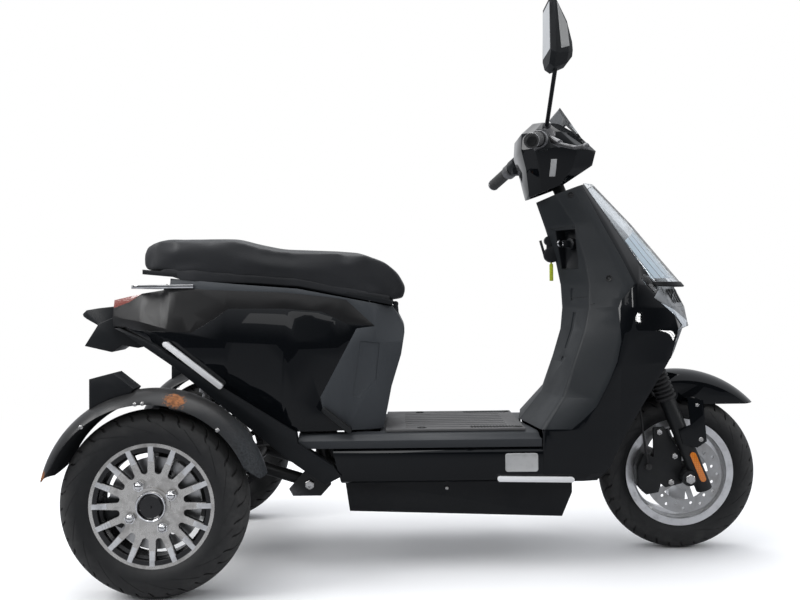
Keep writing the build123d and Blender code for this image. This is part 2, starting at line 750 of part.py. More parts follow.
def lower_beams():
    """Two long side mouldings from the tail down to the pivot."""
    beam_under = [(-300, 318), (-215, 262), (-195, 236), (-235, 215), (-330, 283), (-600, 508), (-720, 592)]
    return both_sides(side_plate(beam_top + beam_under, -beam_outer_y, -beam_inner_y))


def strip(start, end, low_y, high_y, width=strip_width):
    """Bar with round ends between two (x, z) points."""
    run = Vector(end[0] - start[0], end[1] - start[1])
    outline = SlotCenterToCenter(run.length - width, width)
    middle = ((start[0] + end[0]) / 2, (start[1] + end[1]) / 2)
    angle = math.degrees(math.atan2(run.Y, run.X))
    face = Plane.XZ * (Pos(*middle) * Rot(0, 0, angle) * outline)
    return Pos(0, low_y, 0) * extrude(face, amount=high_y - low_y, dir=(0, 1, 0))


def light_strips():
    """White lamp strips on the rear body and the sills."""
    rear = strip((-625, 569), (-483, 457), -beam_outer_y - strip_stand, -beam_inner_y - 20)
    sill = strip((187, 226), (375, 222), -skirt_half_width - 4, -skirt_half_width + 6)
    return both_sides(rear) + both_sides(sill)


def main_frame():
    """Tube frame: head tube, down tube, floor rails and seat rails."""
    r = frame_tube_radius
    head = rod(steering_place(0, 0, head_tube_low), steering_place(0, 0, head_tube_high), head_tube_radius)
    down = bent_tube([steering_place(0, -20, 430), (430, 0, 400), (cross_tube_x[0], 0, rail_z)], r, 60)
    frame = head + down
    for side in (-1, 1):
        y = side * rail_half_spacing
        path = [(cross_tube_x[0] + 28, rail_z), (-240, rail_z), (-262, 420), (-300, 600), (-640, 640)]
        frame += bent_tube([(x, y, z) for x, z in path], r, 40)
    for x in cross_tube_x:
        frame += rod((x, -rail_half_spacing, rail_z), (x, rail_half_spacing, rail_z), r - 2)
    frame += rod((-620, -rail_half_spacing, 637), (-620, rail_half_spacing, 637), r - 3)
    ears = side_plate([(-330, 196), (-320, 178), (-250, 178), (-225, 205), (-225, 262), (-270, 262)], -126, -118)
    frame += both_sides(ears)
    frame += both_sides(slab((-520, shock_y - 8, 566), (-492, shock_y + 8, 612)))
    bore = stem_radius + head_clearance
    frame -= rod(steering_place(0, 0, head_tube_low - 5), steering_place(0, 0, head_tube_high + 5), bore)
    return [frame]


def swing_frame(housing):
    """Rear swing frame between the pivot and the axle tube."""
    x, z = pivot
    frame = rod((x, -110, z), (x, 110, z), 16)
    for side in (-1, 1):
        y = side * 96
        frame += bent_tube([(x, y, z), (-420, y, 250), (rear_axle_x + 22, y, rear_axle_z + 24)], 15, 40)
    frame += rod((-430, -96, 249), (-430, 96, 249), 12)
    return [frame - housing]


def wheel_place(radius, low_y, high_y):
    """Disc about the rear axle line."""
    return Pos(rear_axle_x, 0, rear_axle_z) * wheel_disc(radius, low_y, high_y)


def axle_housing():
    """Rear axle tube with the drive motor block in its middle."""
    housing = wheel_place(axle_tube_radius, -axle_tube_end, axle_tube_end)
    housing += wheel_place(motor_radius, -motor_half_length, motor_half_length)
    housing += wheel_place(motor_radius * 0.6, -motor_half_length - 30, motor_half_length + 30)
    for side in (-1, 1):
        bore = (side * (axle_tube_end - 70), side * (axle_tube_end + 1))
        housing -= wheel_place(drive_shaft_radius + shaft_clearance, min(bore), max(bore))
    return [housing]


def shocks():
    """Coil-over dampers from the axle tube to the frame; the spring's turns are stacked rings."""
    foot = Vector(rear_axle_x + 34, shock_y, rear_axle_z + 40)
    head = Vector(-506, shock_y, 566)
    run = head - foot
    collar = 34
    pitch = (run.length - 2 * collar) / spring_turns
    body = shock_body_radius
    coil = spring_radius
    outline = [(0, 0), (body + 2, 0), (body + 2, collar - 6), (coil, collar - 4), (coil, collar)]
    for k in range(spring_turns):
        low = collar + pitch * k
        outline += [(body, low + pitch * 0.1), (body, low + pitch * 0.4)]
        outline += [(coil, low + pitch * 0.55), (coil, low + pitch * 0.9)]
    high = run.length - collar
    outline += [(coil, high), (coil, high + 4), (body, high + 6), (body, run.length), (0, run.length)]
    unit = revolve(Plane.XZ * make_face(Polyline(*outline, close=True)), axis=Axis.Z)
    unit = Plane(origin=foot, x_dir=(0, 1, 0), z_dir=run).location * unit
    return [unit, mirror(unit, about=Plane.XZ)]


seat_under = [(-66, 654), (-300, 701), (-450, 714), (-622, 731), (-690, 738)]
seat_over = [(x, z + seat_base_thickness) for x, z in seat_under]


def seat_base():
    """Seat pan that carries the cushion and hinges at its front."""
    half = seat_half_width - 12
    pan = side_plate(seat_under + seat_over[::-1], -half, half)
    x, z = seat_hinge
    half = knuckle_half_width
    knuckle = Pos(x, 0, z) * wheel_disc(hinge_radius, -half, half)
    knuckle += slab((x - 12, -half, z), (x, half, z + hinge_radius))
    knuckle -= Pos(x, 0, z) * wheel_disc(hinge_pin_radius + pin_clearance, -half - 1, half + 1)
    return [pan + knuckle]


def hinge_lugs():
    """Two lugs and the pin that carry the seat at the pedestal's front edge."""
    x, z = seat_hinge
    low_y = knuckle_half_width + 1
    high_y = low_y + lug_thickness
    lug = Pos(x, 0, z) * wheel_disc(hinge_radius, low_y, high_y)
    lug += side_plate([(x - 6, z - 3), (x - 8, z - 9), (x + 8, z - 29), (x + 6, z - 3)], low_y, high_y)
    pin = Pos(x, 0, z) * wheel_disc(hinge_pin_radius, -high_y, high_y)
    return both_sides(lug) + pin


def seat_cushion():
    """Long cushion with a raised rear part, round nose and tail."""
    half = seat_half_width
    upper = [(-702, 752), (-704, 790), (-690, 815), (-650, 827), (-450, 826), (-400, 812), (-340, 799), (-200, 792),
             (-130, 786), (-80, 768), (-45, 738), (-25, 700), (-30, 672)]
    lower = [(x, z + seat_gap) for x, z in seat_over]
    solid = side_plate(lower + upper, -half, half)
    side = [(-20, 70), (-60, 108), (-130, 130), (-300, half), (-560, half), (-660, 128), (-706, 96)]
    plan = make_face(Polyline(*side, *[(x, -y) for x, y in side[::-1]], close=True))
    return [solid & (Pos(0, 0, 600) * extrude(plan, amount=300))]


bucket_half_width = rail_half_spacing - frame_tube_radius - seat_gap


def storage_bucket():
    """Open-topped tub under the seat, its rim just below the seat pan."""
    rim = [(-130, seat_under[0][1] + 12.8), (-300, seat_under[1][1]), (-450, seat_under[2][1]), (-480, 717)]
    rim = [(x, z - seat_gap) for x, z in rim]
    outer = side_plate([(-480, 450), (-130, 450)] + rim, -bucket_half_width, bucket_half_width)
    wall = bucket_wall
    inner = slab((-480 + wall, -bucket_half_width + wall, 450 + wall), (-130 - wall, bucket_half_width - wall, 760))
    return [outer - inner]


def tail_mudguard():
    """Pointed mudguard fin behind the tail with the plate bracket below."""
    half = fin_half_width
    side = [(-887, 638), (-872, 648), (-838, 653), (-757, 661), (-742, 620), (-790, 600), (-834, 606), (-884, 631)]
    fin = side_plate(side, -half, half)
    edge = [(-887, 18), (-872, 30), (-830, half - 6), (-740, half)]
    plan = make_face(Polyline(*edge, *[(x, -y) for x, y in edge[::-1]], close=True))
    fin &= Pos(0, 0, 560) * extrude(plan, amount=140)
    holder = [(-834, 612), (-871, 555), (-800, 538), (-773, 556), (-731, 548), (-702, 562), (-702, 600), (-790, 630)]
    bracket = side_plate(holder, -half, half)
    return [fin + bracket - rear_loft(0)]


def grab_rail():
    """Flat passenger rail that wraps round behind the seat."""
    outer = slab((-723, -138, rail_low), (-560, 138, rail_low + rail_thickness))
    inner = slab((-700, -120, rail_low - 1), (-550, 120, rail_low + rail_thickness + 1))
    bar = outer - inner - rear_loft(0)
    return [fillet(bar.edges().filter_by(Axis.Z).group_by(Axis.X)[0], 30)]


def footrests():
    """Folded passenger footrests at the pedestal foot."""
    bar = strip((-240, 402), (-170, 344), -170, -148) - rear_loft(0)
    return [both_sides(bar)]


def levers():
    """Brake levers with ball ends."""
    arm = bent_tube([(337, 205, 1035), (372, 235, 1020), (378, 305, 1010)], 5, 15)
    ball = Pos(378, 305, 1010) * Sphere(8)
    perch = Pos(318, 150, 1064) * Rot(90, 0, 0) * Cylinder(19, 40)
    link = rod((318, 160, 1060), (340, 206, 1036), 9)
    return arm + ball + link + perch - rod(bar_shoulder, bar_end, bar_radius + seat_gap)


# Mirror housing sections: x, half width, low, waist and high z
mirror_rows = [
    (294, 50, 1194, 1218, 1336),
    (306, 53, 1186, 1210, 1344),
    (336, 34, 1196, 1216, 1290),
    (350, 16, 1214, 1226, 1246),
]


def mirror_right():
    """Right mirror: faceted housing on a bent stem with a round foot."""
    stem = bent_tube([(318, -150, 1080), (316, -190, 1105), (313, -290, 1186), (314, -292, 1206)], 5, 18)
    foot = rod((318, -150, 1078), (317, -166, 1089), 10)
    sections = []
    for x, half, low, waist, high in mirror_rows:
        outline = make_face(Polyline((-half * 0.55, low), (half * 0.55, low), (half, waist), (half * 0.8, high),
                                     (-half * 0.62, high), (-half, waist), close=True))
        sections.append(Pos(x, mirror_middle_y, 0) * (Plane.YZ * outline))
    return stem + foot + loft(sections, ruled=True)


def flyscreen():
    """Small clear screen on the pod."""
    return side_plate([(438, 1062), (434, 1060), (368, 1150), (372, 1157)], -60, 60)


def ignition_lock():
    """Recessed cup in the leg shield with the lock barrel and its key."""
    cup = Box(lock_depth, lock_width, lock_height)
    cup -= Pos(-lock_wall, 0, 0) * Box(lock_depth, lock_width - 2 * lock_wall, lock_height - 2 * lock_wall)
    cup = (lock_place * cup) & front_loft(0)
    barrel = lock_place * Pos(lock_depth / 2 - lock_wall, 0, 14) * Rot(0, -90, 0) * Pos(0, 0, 8) * Cylinder(15, 16)
    key = lock_place * Pos(lock_depth / 2 - 30, 0, 14) * Box(24, 3, 18)
    return [cup + barrel + key]


def bag_hook():
    """Folding bag hook on the leg shield's centre line: round body, knob above and thin lever."""
    body = Pos(359, 0, 781) * wheel_disc(hook_radius, -9, 9)
    knob = Pos(352, 0, 818) * wheel_disc(hook_radius * 0.6, -8, 8)
    neck = slab((346, -6, 798), (362, 6, 812))
    lever = rod((343, 0, 769), (329, 0, 819), 3.5)
    return body + knob + neck + lever


def fender_lamp():
    """Lamp box on one rear mudguard, about the wheel centre."""
    box = side_plate([(-138, 211), (-137, 285), (-84, 298), (-39, 262), (-54, 241), (-94, 226)],
                     -lamp_box_half_width, lamp_box_half_width)
    crown = fender_crown_radius + seat_gap
    edge = fender_edge_radius + seat_gap
    half = fender_half_width
    return box - arched_ring(half, edge - 100, edge, crown)


def lamp_slot(gap):
    """Opening in the nose panel for the headlight lens."""
    half = lamp_half_width - gap
    return slab((600, -half, 640 + gap), (760, half, 682 - gap))


def louvre_panel(shell):
    """Pointed silver nose panel with four dark slots each side and the headlight opening."""
    panel = (shell & louvre_side) - lamp_slot(0)
    for k in range(louvre_count):
        x = 640 + louvre_pitch * k
        slot = across([(x, 682), (x + louvre_width, 682), (x + louvre_width + 14, 648), (x + 14, 648)])
        panel -= slot - slab((600, -lamp_half_width - 6, 600), (800, lamp_half_width + 6, 700))
    return [panel]


def headlight():
    """Headlight lens in the nose panel's opening with its housing behind."""
    lens = lamp_slot(seat_gap) & front_loft(0)
    housing = slab((630, -60, 636), (760, 60, 686)) & front_loft(body_wall + seat_gap)
    return [lens + housing]


def turn_lamps(shell):
    """Clear turn lamp lenses at the visor's lower corners."""
    return [shell & turn_lamp_side]


def fork_reflectors(fork_body):
    """Amber reflectors on the outer faces of the fork legs."""
    face = fork_half_spacing + fork_lower_radius
    bar = strip((687, 272), (717, 198), -face - 5, -face + 6, reflector_width)
    return both_sides(bar) - fork_body


def brake_hose(caliper, fork_body):
    """Front brake hose from the caliper up to the lower yoke."""
    face = front_disc_y - 22
    route = [(584, face - 6, 236), (572, face - 12, 300), (562, face - 10, 390), (562, face + 8, 440),
             steering_place(face + 18, -10, yoke_height + 3)]
    banjo = Pos(584, 0, 232) * wheel_disc(8, face - 12, face)
    return [bent_tube(route, hose_radius, hose_bend) + banjo - caliper - fork_body]


def switch_housings(bar):
    """Switch boxes round the bar inside the grips."""
    shoulder = Vector(*bar_shoulder)
    run = (Vector(*bar_end) - shoulder).normalized()
    first = shoulder + run * ((switch_y - shoulder.Y) / run.Y - switch_length / 2)
    last = first + run * switch_length
    drum = rod(tuple(first), tuple(last), switch_radius)
    block = Pos(*((first + last) * 0.5)) * Pos(4, 0, -14) * Box(34, switch_length - 6, 30)
    block = fillet(block.edges().filter_by(Axis.Y), 6)
    return both_sides(drum + block) - bar


nodes = {}
front_centre = Pos(front_axle_x, 0, front_axle_z)
left_centre = Pos(rear_axle_x, rear_half_track, rear_axle_z)


def add_node(name, solids):
    """Keep one named node as a list of solids."""
    nodes[name] = [part for solid in solids for part in solid.solids()]


def add_rear_pair(name, solids):
    """Left and right copies of a piece that is drawn about a rear wheel's centre."""
    placed = [left_centre * solid for solid in solids]
    add_node(name + "_left", placed)
    add_node(name + "_right", [mirror(solid, about=Plane.XZ) for solid in placed])


# Wheels and rear axle
add_rear_pair("rear_tyre", [tyre(rear_tyre_radius, rear_tyre_half_width, rear_rim_half_width)])
add_rear_pair("rear_rim", [rear_rim()])
add_rear_pair("rear_hub", rear_hub())
add_rear_pair("rear_disc", [rear_disc()])
caliper = [left_centre * solid for solid in rear_caliper()]
add_node("rear_calipers", caliper + [mirror(solid, about=Plane.XZ) for solid in caliper])
housing = axle_housing()[0]
swing = swing_frame(housing)[0]
frame = main_frame()[0]
add_node("axle_housing", [housing])
add_node("swing_frame", [swing])
add_node("main_frame", [frame])
add_node("shocks", [unit - housing - swing - frame for unit in shocks()])
fender = left_centre * rear_fender()[0]
add_node("rear_fenders", [fender, mirror(fender, about=Plane.XZ)])
add_node("fender_lamps", [both_sides(left_centre * fender_lamp())])

# Front wheel and steering
add_node("front_tyre", [front_centre * tyre(front_tyre_radius, front_tyre_half_width, front_rim_half_width)])
add_node("front_rim", [front_centre * front_rim()])
add_node("front_disc", [front_centre * front_disc()])
add_node("front_axle", [front_centre * wheel_disc(front_axle_radius, -112, 112)])
fork_body = fork()[0]
add_node("fork", [fork_body])
add_node("fork_gaiters", fork_gaiters())
caliper_body = front_caliper(fork_body)[0]
add_node("front_caliper", [caliper_body])
add_node("brake_hose", brake_hose(caliper_body, fork_body))
add_node("fork_reflectors", [fork_reflectors(fork_body)])
add_node("front_fender", front_fender())
bar = handlebar()[0]
pod = handlebar_pod()[0] - bar
switches = switch_housings(bar) - pod
lever_pair = both_sides(levers() - bar - pod) - switches
add_node("handlebar", [bar])
add_node("grips", grips())
add_node("levers", [lever_pair])
add_node("switch_housings", [switches])
add_node("handlebar_pod", [pod])
add_node("flyscreen", [flyscreen() - pod_loft(0)])
add_node("mirror_right", [mirror_right() - lever_pair - bar])

# Front body and floor
beams = lower_beams()
front_body = front_shell()
skirt_pair = skirts(front_body, beams)
add_node("leg_shield", leg_shield(front_body))
add_node("side_skirts", skirt_pair)
add_node("front_fairing", front_fairing(front_body))
add_node("nose_panel", louvre_panel(front_body))
add_node("visor", visor())
add_node("headlight", headlight())
add_node("turn_lamps", turn_lamps(front_body))
add_node("floor_board", [deck(beams) - frame])
add_node("floor_mat", floor_mat())
add_node("battery_box", battery_box())
add_node("ignition_lock", ignition_lock())
add_node("bag_hook", [bag_hook() - front_loft(0)])

# Rear body and frame
rear_body = rear_shell()
tail_band = rear_body & lamp_side
panels = (rear_body & gloss_side) - cowl_side - pedestal_side - beams
scoop = across([(-146, 566), (-98, 560), (-108, 470), (-146, 424), (-166, 430)])
scoop &= rear_loft(0) - rear_loft(recess_depth)
add_node("pedestal", [(rear_body & pedestal_side) - scoop + hinge_lugs()])
add_node("tail_cowl", [(rear_body & cowl_side) - pedestal_side - lamp_side - frame])
add_node("tail_lamp", [tail_band])
add_node("side_panels", [panels])
add_node("lower_beams", [beams])
add_node("light_strips", [light_strips() - beams - panels - Compound(children=skirt_pair)])
add_node("seat_base", seat_base())
add_node("seat_cushion", seat_cushion())
add_node("storage_bucket", storage_bucket())
add_node("tail_mudguard", tail_mudguard())
add_node("grab_rail", grab_rail())
add_node("footrests", footrests())

os.makedirs("parts", exist_ok=True)
for name, solids in nodes.items():
    export_step(solids[0] if len(solids) == 1 else Compound(children=solids), f"parts/{name}.step")
print(len(nodes), "nodes")
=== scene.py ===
import json
import math
import bmesh
import bpy
from mathutils import Matrix, Vector
from mathutils.bvhtree import BVHTree


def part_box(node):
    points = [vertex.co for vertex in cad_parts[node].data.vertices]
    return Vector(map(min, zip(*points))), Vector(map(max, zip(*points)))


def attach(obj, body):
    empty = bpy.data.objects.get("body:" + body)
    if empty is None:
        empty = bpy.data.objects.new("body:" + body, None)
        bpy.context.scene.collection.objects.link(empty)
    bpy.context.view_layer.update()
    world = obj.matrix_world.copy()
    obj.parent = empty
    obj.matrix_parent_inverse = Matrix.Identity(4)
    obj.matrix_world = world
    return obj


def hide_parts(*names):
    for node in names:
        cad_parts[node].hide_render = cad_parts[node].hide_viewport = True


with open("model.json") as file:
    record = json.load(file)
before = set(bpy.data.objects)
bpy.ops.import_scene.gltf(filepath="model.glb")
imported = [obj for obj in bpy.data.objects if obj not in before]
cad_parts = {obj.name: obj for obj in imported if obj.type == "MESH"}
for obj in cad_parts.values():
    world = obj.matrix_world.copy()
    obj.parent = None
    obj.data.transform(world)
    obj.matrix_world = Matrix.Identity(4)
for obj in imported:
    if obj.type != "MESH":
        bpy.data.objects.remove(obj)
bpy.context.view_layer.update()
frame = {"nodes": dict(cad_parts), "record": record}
nodes = frame["nodes"]
scene = bpy.context.scene
bpy.ops.object.select_all(action="DESELECT")
print("frame loaded:", len(nodes), "nodes")

bodyOfNode = {member: body
              for body, members in frame["record"]["behaviour"]["bodies"].items()
              for member in members}


# Camera at the photograph's place

cameraSetup = {
    "place": (-0.0422, -2.0154, 0.6833),
    "yaw": -0.0022,
    "pitch": -0.0091,
    "roll": -0.0119,
    "lens": 34.0,
    "sensor": 36.0,
}


def makeCamera(setup):
    data = bpy.data.cameras.new("camera")
    data.lens = setup["lens"]
    data.sensor_width = setup["sensor"]
    data.sensor_fit = "HORIZONTAL"
    camera = bpy.data.objects.new("camera", data)
    scene.collection.objects.link(camera)
    yaw, pitch, roll = setup["yaw"], setup["pitch"], setup["roll"]
    ahead = Vector((math.sin(yaw) * math.cos(pitch), math.cos(yaw) * math.cos(pitch), math.sin(pitch)))
    right = Vector((math.cos(yaw), -math.sin(yaw), 0))
    up = right.cross(ahead)
    rolledRight = right * math.cos(roll) + up * math.sin(roll)
    rolledUp = up * math.cos(roll) - right * math.sin(roll)
    turn = Matrix((rolledRight, rolledUp, -ahead)).transposed().to_4x4()
    camera.matrix_world = Matrix.Translation(setup["place"]) @ turn
    scene.camera = camera


makeCamera(cameraSetup)
scene.view_settings.view_transform = "Standard"


# Floor and light

studio = {
    "floorSeen": (0.93, 0.93, 0.935, 1),
    "floorGiven": (0.36, 0.365, 0.38, 1),
    "fade": (0.9, 3.2),  # how far out the floor turns into the white backdrop
    "zenith": (0.92, 0.95, 1.0, 1),
    "frontHorizon": (0.07, 0.072, 0.076, 1),
    "backHorizon": (0.62, 0.63, 0.65, 1),
    "seenSky": (1.0, 1.0, 1.0, 1),
}
lamps = {  # energy, size, place, target
    "overheadLamp": (62, (3.4, 2.0), (-0.2, 0.2, 3.1), (0, 0, 0.5)),
    "riderSideLamp": (58, (1.4, 1.6), (-2.8, -0.9, 2.2), (0.3, 0, 0.6)),
    "windowLamp": (9, (0.5, 0.6), (2.2, -2.6, 2.0), (0.5, 0, 0.7)),
    "cameraSideLamp": (7, (2.2, 0.8), (-0.4, -3.2, 2.6), (-0.1, 0, 0.4)),
}


def makeFloor(setup):
    bpy.ops.mesh.primitive_plane_add(size=60)
    floor = bpy.context.object
    floor.name = "floor"
    material = bpy.data.materials.new("floorWhite")
    material.use_nodes = True
    tree = material.node_tree
    shader = tree.nodes["Principled BSDF"]
    shader.inputs["Roughness"].default_value = 0.8
    path = tree.nodes.new("ShaderNodeLightPath")
    seen = tree.nodes.new("ShaderNodeMath")
    seen.operation = "MAXIMUM"
    mix = tree.nodes.new("ShaderNodeMix")
    mix.data_type = "RGBA"
    mix.inputs[6].default_value = setup["floorGiven"]
    mix.inputs[7].default_value = setup["floorSeen"]
    tree.links.new(path.outputs["Is Camera Ray"], seen.inputs[0])
    tree.links.new(path.outputs["Is Transmission Ray"], seen.inputs[1])
    tree.links.new(seen.outputs[0], mix.inputs[0])
    tree.links.new(mix.outputs[2], shader.inputs["Base Color"])
    place = tree.nodes.new("ShaderNodeTexCoord")
    reach = tree.nodes.new("ShaderNodeVectorMath")
    reach.operation = "LENGTH"
    far = tree.nodes.new("ShaderNodeMapRange")
    far.interpolation_type = "SMOOTHSTEP"
    far.inputs["From Min"].default_value, far.inputs["From Max"].default_value = setup["fade"]
    fading = tree.nodes.new("ShaderNodeMath")
    fading.operation = "MULTIPLY"
    glow = tree.nodes.new("ShaderNodeEmission")
    blend = tree.nodes.new("ShaderNodeMixShader")
    tree.links.new(place.outputs["Object"], reach.inputs[0])
    tree.links.new(reach.outputs["Value"], far.inputs["Value"])
    tree.links.new(far.outputs["Result"], fading.inputs[0])
    tree.links.new(seen.outputs[0], fading.inputs[1])
    tree.links.new(fading.outputs[0], blend.inputs[0])
    tree.links.new(shader.outputs[0], blend.inputs[1])
    tree.links.new(glow.outputs[0], blend.inputs[2])
    tree.links.new(blend.outputs[0], tree.nodes["Material Output"].inputs["Surface"])
    floor.data.materials.append(material)


def makeSky(setup):
    world = bpy.data.worlds.new("studioSky")
    scene.world = world
    world.use_nodes = True
    tree = world.node_tree
    tree.nodes.clear()
    out = tree.nodes.new("ShaderNodeOutputWorld")
    mix = tree.nodes.new("ShaderNodeMixShader")
    lit = tree.nodes.new("ShaderNodeBackground")
    seen = tree.nodes.new("ShaderNodeBackground")
    path = tree.nodes.new("ShaderNodeLightPath")
    plain = tree.nodes.new("ShaderNodeMath")
    plain.operation = "MAXIMUM"
    place = tree.nodes.new("ShaderNodeTexCoord")
    split = tree.nodes.new("ShaderNodeSeparateXYZ")
    tree.links.new(place.outputs["Generated"], split.inputs[0])
    blends = []
    for axis, low, high in (("Y", -0.1, 0.6), ("Z", 0.15, 0.85)):
        span = tree.nodes.new("ShaderNodeMapRange")
        span.interpolation_type = "SMOOTHSTEP"
        span.inputs["From Min"].default_value = low
        span.inputs["From Max"].default_value = high
        blend = tree.nodes.new("ShaderNodeMix")
        blend.data_type = "RGBA"
        tree.links.new(split.outputs[axis], span.inputs["Value"])
        tree.links.new(span.outputs["Result"], blend.inputs[0])
        blends.append(blend)
    blends[0].inputs[6].default_value = setup["frontHorizon"]
    blends[0].inputs[7].default_value = setup["backHorizon"]
    blends[1].inputs[7].default_value = setup["zenith"]
    tree.links.new(blends[0].outputs[2], blends[1].inputs[6])
    tree.links.new(blends[1].outputs[2], lit.inputs["Color"])
    seen.inputs["Color"].default_value = setup["seenSky"]
    tree.links.new(path.outputs["Is Camera Ray"], plain.inputs[0])
    tree.links.new(path.outputs["Is Transmission Ray"], plain.inputs[1])
    tree.links.new(plain.outputs[0], mix.inputs[0])
    tree.links.new(lit.outputs[0], mix.inputs[1])
    tree.links.new(seen.outputs[0], mix.inputs[2])
    tree.links.new(mix.outputs[0], out.inputs["Surface"])


def addLamp(name, energy, size, place, target):
    data = bpy.data.lights.new(name, "AREA")
    data.energy = energy
    data.shape = "RECTANGLE"
    data.size, data.size_y = size
    lamp = bpy.data.objects.new(name, data)
    lamp.location = place
    lamp.rotation_mode = "QUATERNION"
    lamp.rotation_quaternion = (Vector(target) - Vector(place)).to_track_quat("-Z", "Y")
    scene.collection.objects.link(lamp)


makeFloor(studio)
makeSky(studio)
for lampName, setup in lamps.items():
    addLamp(lampName, *setup)
print("camera, floor and light made")


# Shared shader effects

def newGroup(name, inputs, outputs):  # inputs with their starting values, outputs by name alone
    group = bpy.data.node_groups.new(name, "ShaderNodeTree")
    for label, value in inputs.items():
        kind = "NodeSocketVector" if isinstance(value, tuple) else "NodeSocketFloat"
        socket = group.interface.new_socket(name=label, in_out="INPUT", socket_type=kind)
        socket.default_value = value
    for label in outputs:
        group.interface.new_socket(name=label, in_out="OUTPUT", socket_type="NodeSocketFloat")
    return group, group.nodes.new("NodeGroupInput"), group.nodes.new("NodeGroupOutput")


def addNode(tree, kind, **values):
    node = tree.nodes.new("ShaderNode" + kind)
    for key, value in values.items():
        setattr(node, key, value)
    return node


def math2(tree, operation, first, second, clamp=False):
    node = addNode(tree, "Math", operation=operation, use_clamp=clamp)
    for slot, value in enumerate((first, second)):
        if isinstance(value, (int, float)):
            node.inputs[slot].default_value = value
        else:
            tree.links.new(value, node.inputs[slot])
    return node.outputs[0]


def makeGrainGroup():  # moulded plastic, rubber and leather pebble
    group, source, sink = newGroup("mouldGrain", {"Scale": 900, "Pebble": 0.5}, ["Height"])
    place = addNode(group, "TexCoord")
    cells = addNode(group, "TexVoronoi", feature="SMOOTH_F1")
    noise = addNode(group, "TexNoise")
    noise.inputs["Detail"].default_value = 3
    mix = addNode(group, "Mix", data_type="FLOAT")
    group.links.new(place.outputs["Object"], cells.inputs["Vector"])
    group.links.new(place.outputs["Object"], noise.inputs["Vector"])
    group.links.new(source.outputs["Scale"], cells.inputs["Scale"])
    group.links.new(source.outputs["Scale"], noise.inputs["Scale"])
    group.links.new(source.outputs["Pebble"], mix.inputs[0])
    group.links.new(noise.outputs["Fac"], mix.inputs[2])
    group.links.new(cells.outputs["Distance"], mix.inputs[3])
    group.links.new(mix.outputs[0], sink.inputs["Height"])
    return group


def makePatchGroup():  # soft uneven patches: stains, dust, dull areas
    group, source, sink = newGroup("unevenPatches", {"Scale": 8, "Low": 0.4, "High": 0.65}, ["Mask"])
    place = addNode(group, "TexCoord")
    noise = addNode(group, "TexNoise")
    noise.inputs["Detail"].default_value = 6
    noise.inputs["Roughness"].default_value = 0.62
    span = addNode(group, "MapRange", interpolation_type="SMOOTHSTEP")
    group.links.new(place.outputs["Object"], noise.inputs["Vector"])
    group.links.new(source.outputs["Scale"], noise.inputs["Scale"])
    group.links.new(noise.outputs["Fac"], span.inputs["Value"])
    group.links.new(source.outputs["Low"], span.inputs["From Min"])
    group.links.new(source.outputs["High"], span.inputs["From Max"])
    group.links.new(span.outputs["Result"], sink.inputs["Mask"])
    return group


def makeEdgeGroup():  # worn corners, from how sharply the surface bends
    group, source, sink = newGroup("edgeWear", {"Reach": 0.56, "Breakup": 60}, ["Mask"])
    shape = addNode(group, "NewGeometry")
    place = addNode(group, "TexCoord")
    noise = addNode(group, "TexNoise")
    noise.inputs["Detail"].default_value = 4
    span = addNode(group, "MapRange", interpolation_type="SMOOTHSTEP")
    high = math2(group, "ADD", source.outputs["Reach"], 0.08)
    group.links.new(place.outputs["Object"], noise.inputs["Vector"])
    group.links.new(source.outputs["Breakup"], noise.inputs["Scale"])
    group.links.new(shape.outputs["Pointiness"], span.inputs["Value"])
    group.links.new(source.outputs["Reach"], span.inputs["From Min"])
    group.links.new(high, span.inputs["From Max"])
    worn = math2(group, "MULTIPLY", span.outputs["Result"],
                 math2(group, "MULTIPLY", noise.outputs["Fac"], 1.6, True), True)
    group.links.new(worn, sink.inputs["Mask"])
    return group


def makeDustGroup():  # dust that settles on what faces up, thicker near the ground
    group, source, sink = newGroup("settledDust", {"Scale": 30, "Ground": 0.5}, ["Mask"])
    shape = addNode(group, "NewGeometry")
    place = addNode(group, "TexCoord")
    upward = addNode(group, "SeparateXYZ")
    height = addNode(group, "SeparateXYZ")
    noise = addNode(group, "TexNoise")
    noise.inputs["Detail"].default_value = 7
    group.links.new(shape.outputs["Normal"], upward.inputs[0])
    group.links.new(place.outputs["Object"], height.inputs[0])
    group.links.new(place.outputs["Object"], noise.inputs["Vector"])
    group.links.new(source.outputs["Scale"], noise.inputs["Scale"])
    facing = math2(group, "MULTIPLY_ADD", upward.outputs["Z"], 0.5, True)
    facing.node.inputs[2].default_value = 0.25
    low = math2(group, "SUBTRACT", source.outputs["Ground"], height.outputs["Z"], True)
    both = math2(group, "ADD", math2(group, "MULTIPLY", facing, 0.6), low, True)
    group.links.new(math2(group, "MULTIPLY", both, noise.outputs["Fac"], True), sink.inputs["Mask"])
    return group


def makePolarGroup():  # distance from a wheel's axle and along it
    group, source, sink = newGroup("wheelPolar", {"Centre": (0, 0, 0)}, ["Radius", "Across"])
    place = addNode(group, "TexCoord")
    shift = addNode(group, "VectorMath", operation="SUBTRACT")
    split = addNode(group, "SeparateXYZ")
    group.links.new(place.outputs["Object"], shift.inputs[0])
    group.links.new(source.outputs["Centre"], shift.inputs[1])
    group.links.new(shift.outputs[0], split.inputs[0])
    square = math2(group, "ADD", math2(group, "POWER", split.outputs["X"], 2),
                   math2(group, "POWER", split.outputs["Z"], 2))
    group.links.new(math2(group, "SQRT", square, 0), sink.inputs["Radius"])
    group.links.new(split.outputs["Y"], sink.inputs["Across"])
    return group


effects = {
    "grain": makeGrainGroup(), "patches": makePatchGroup(), "edges": makeEdgeGroup(),
    "dust": makeDustGroup(), "polar": makePolarGroup(),
}


def useEffect(tree, effect, **values):
    node = tree.nodes.new("ShaderNodeGroup")
    node.node_tree = effects[effect]
    for key, value in values.items():
        node.inputs[key].default_value = value
    return node


# Materials

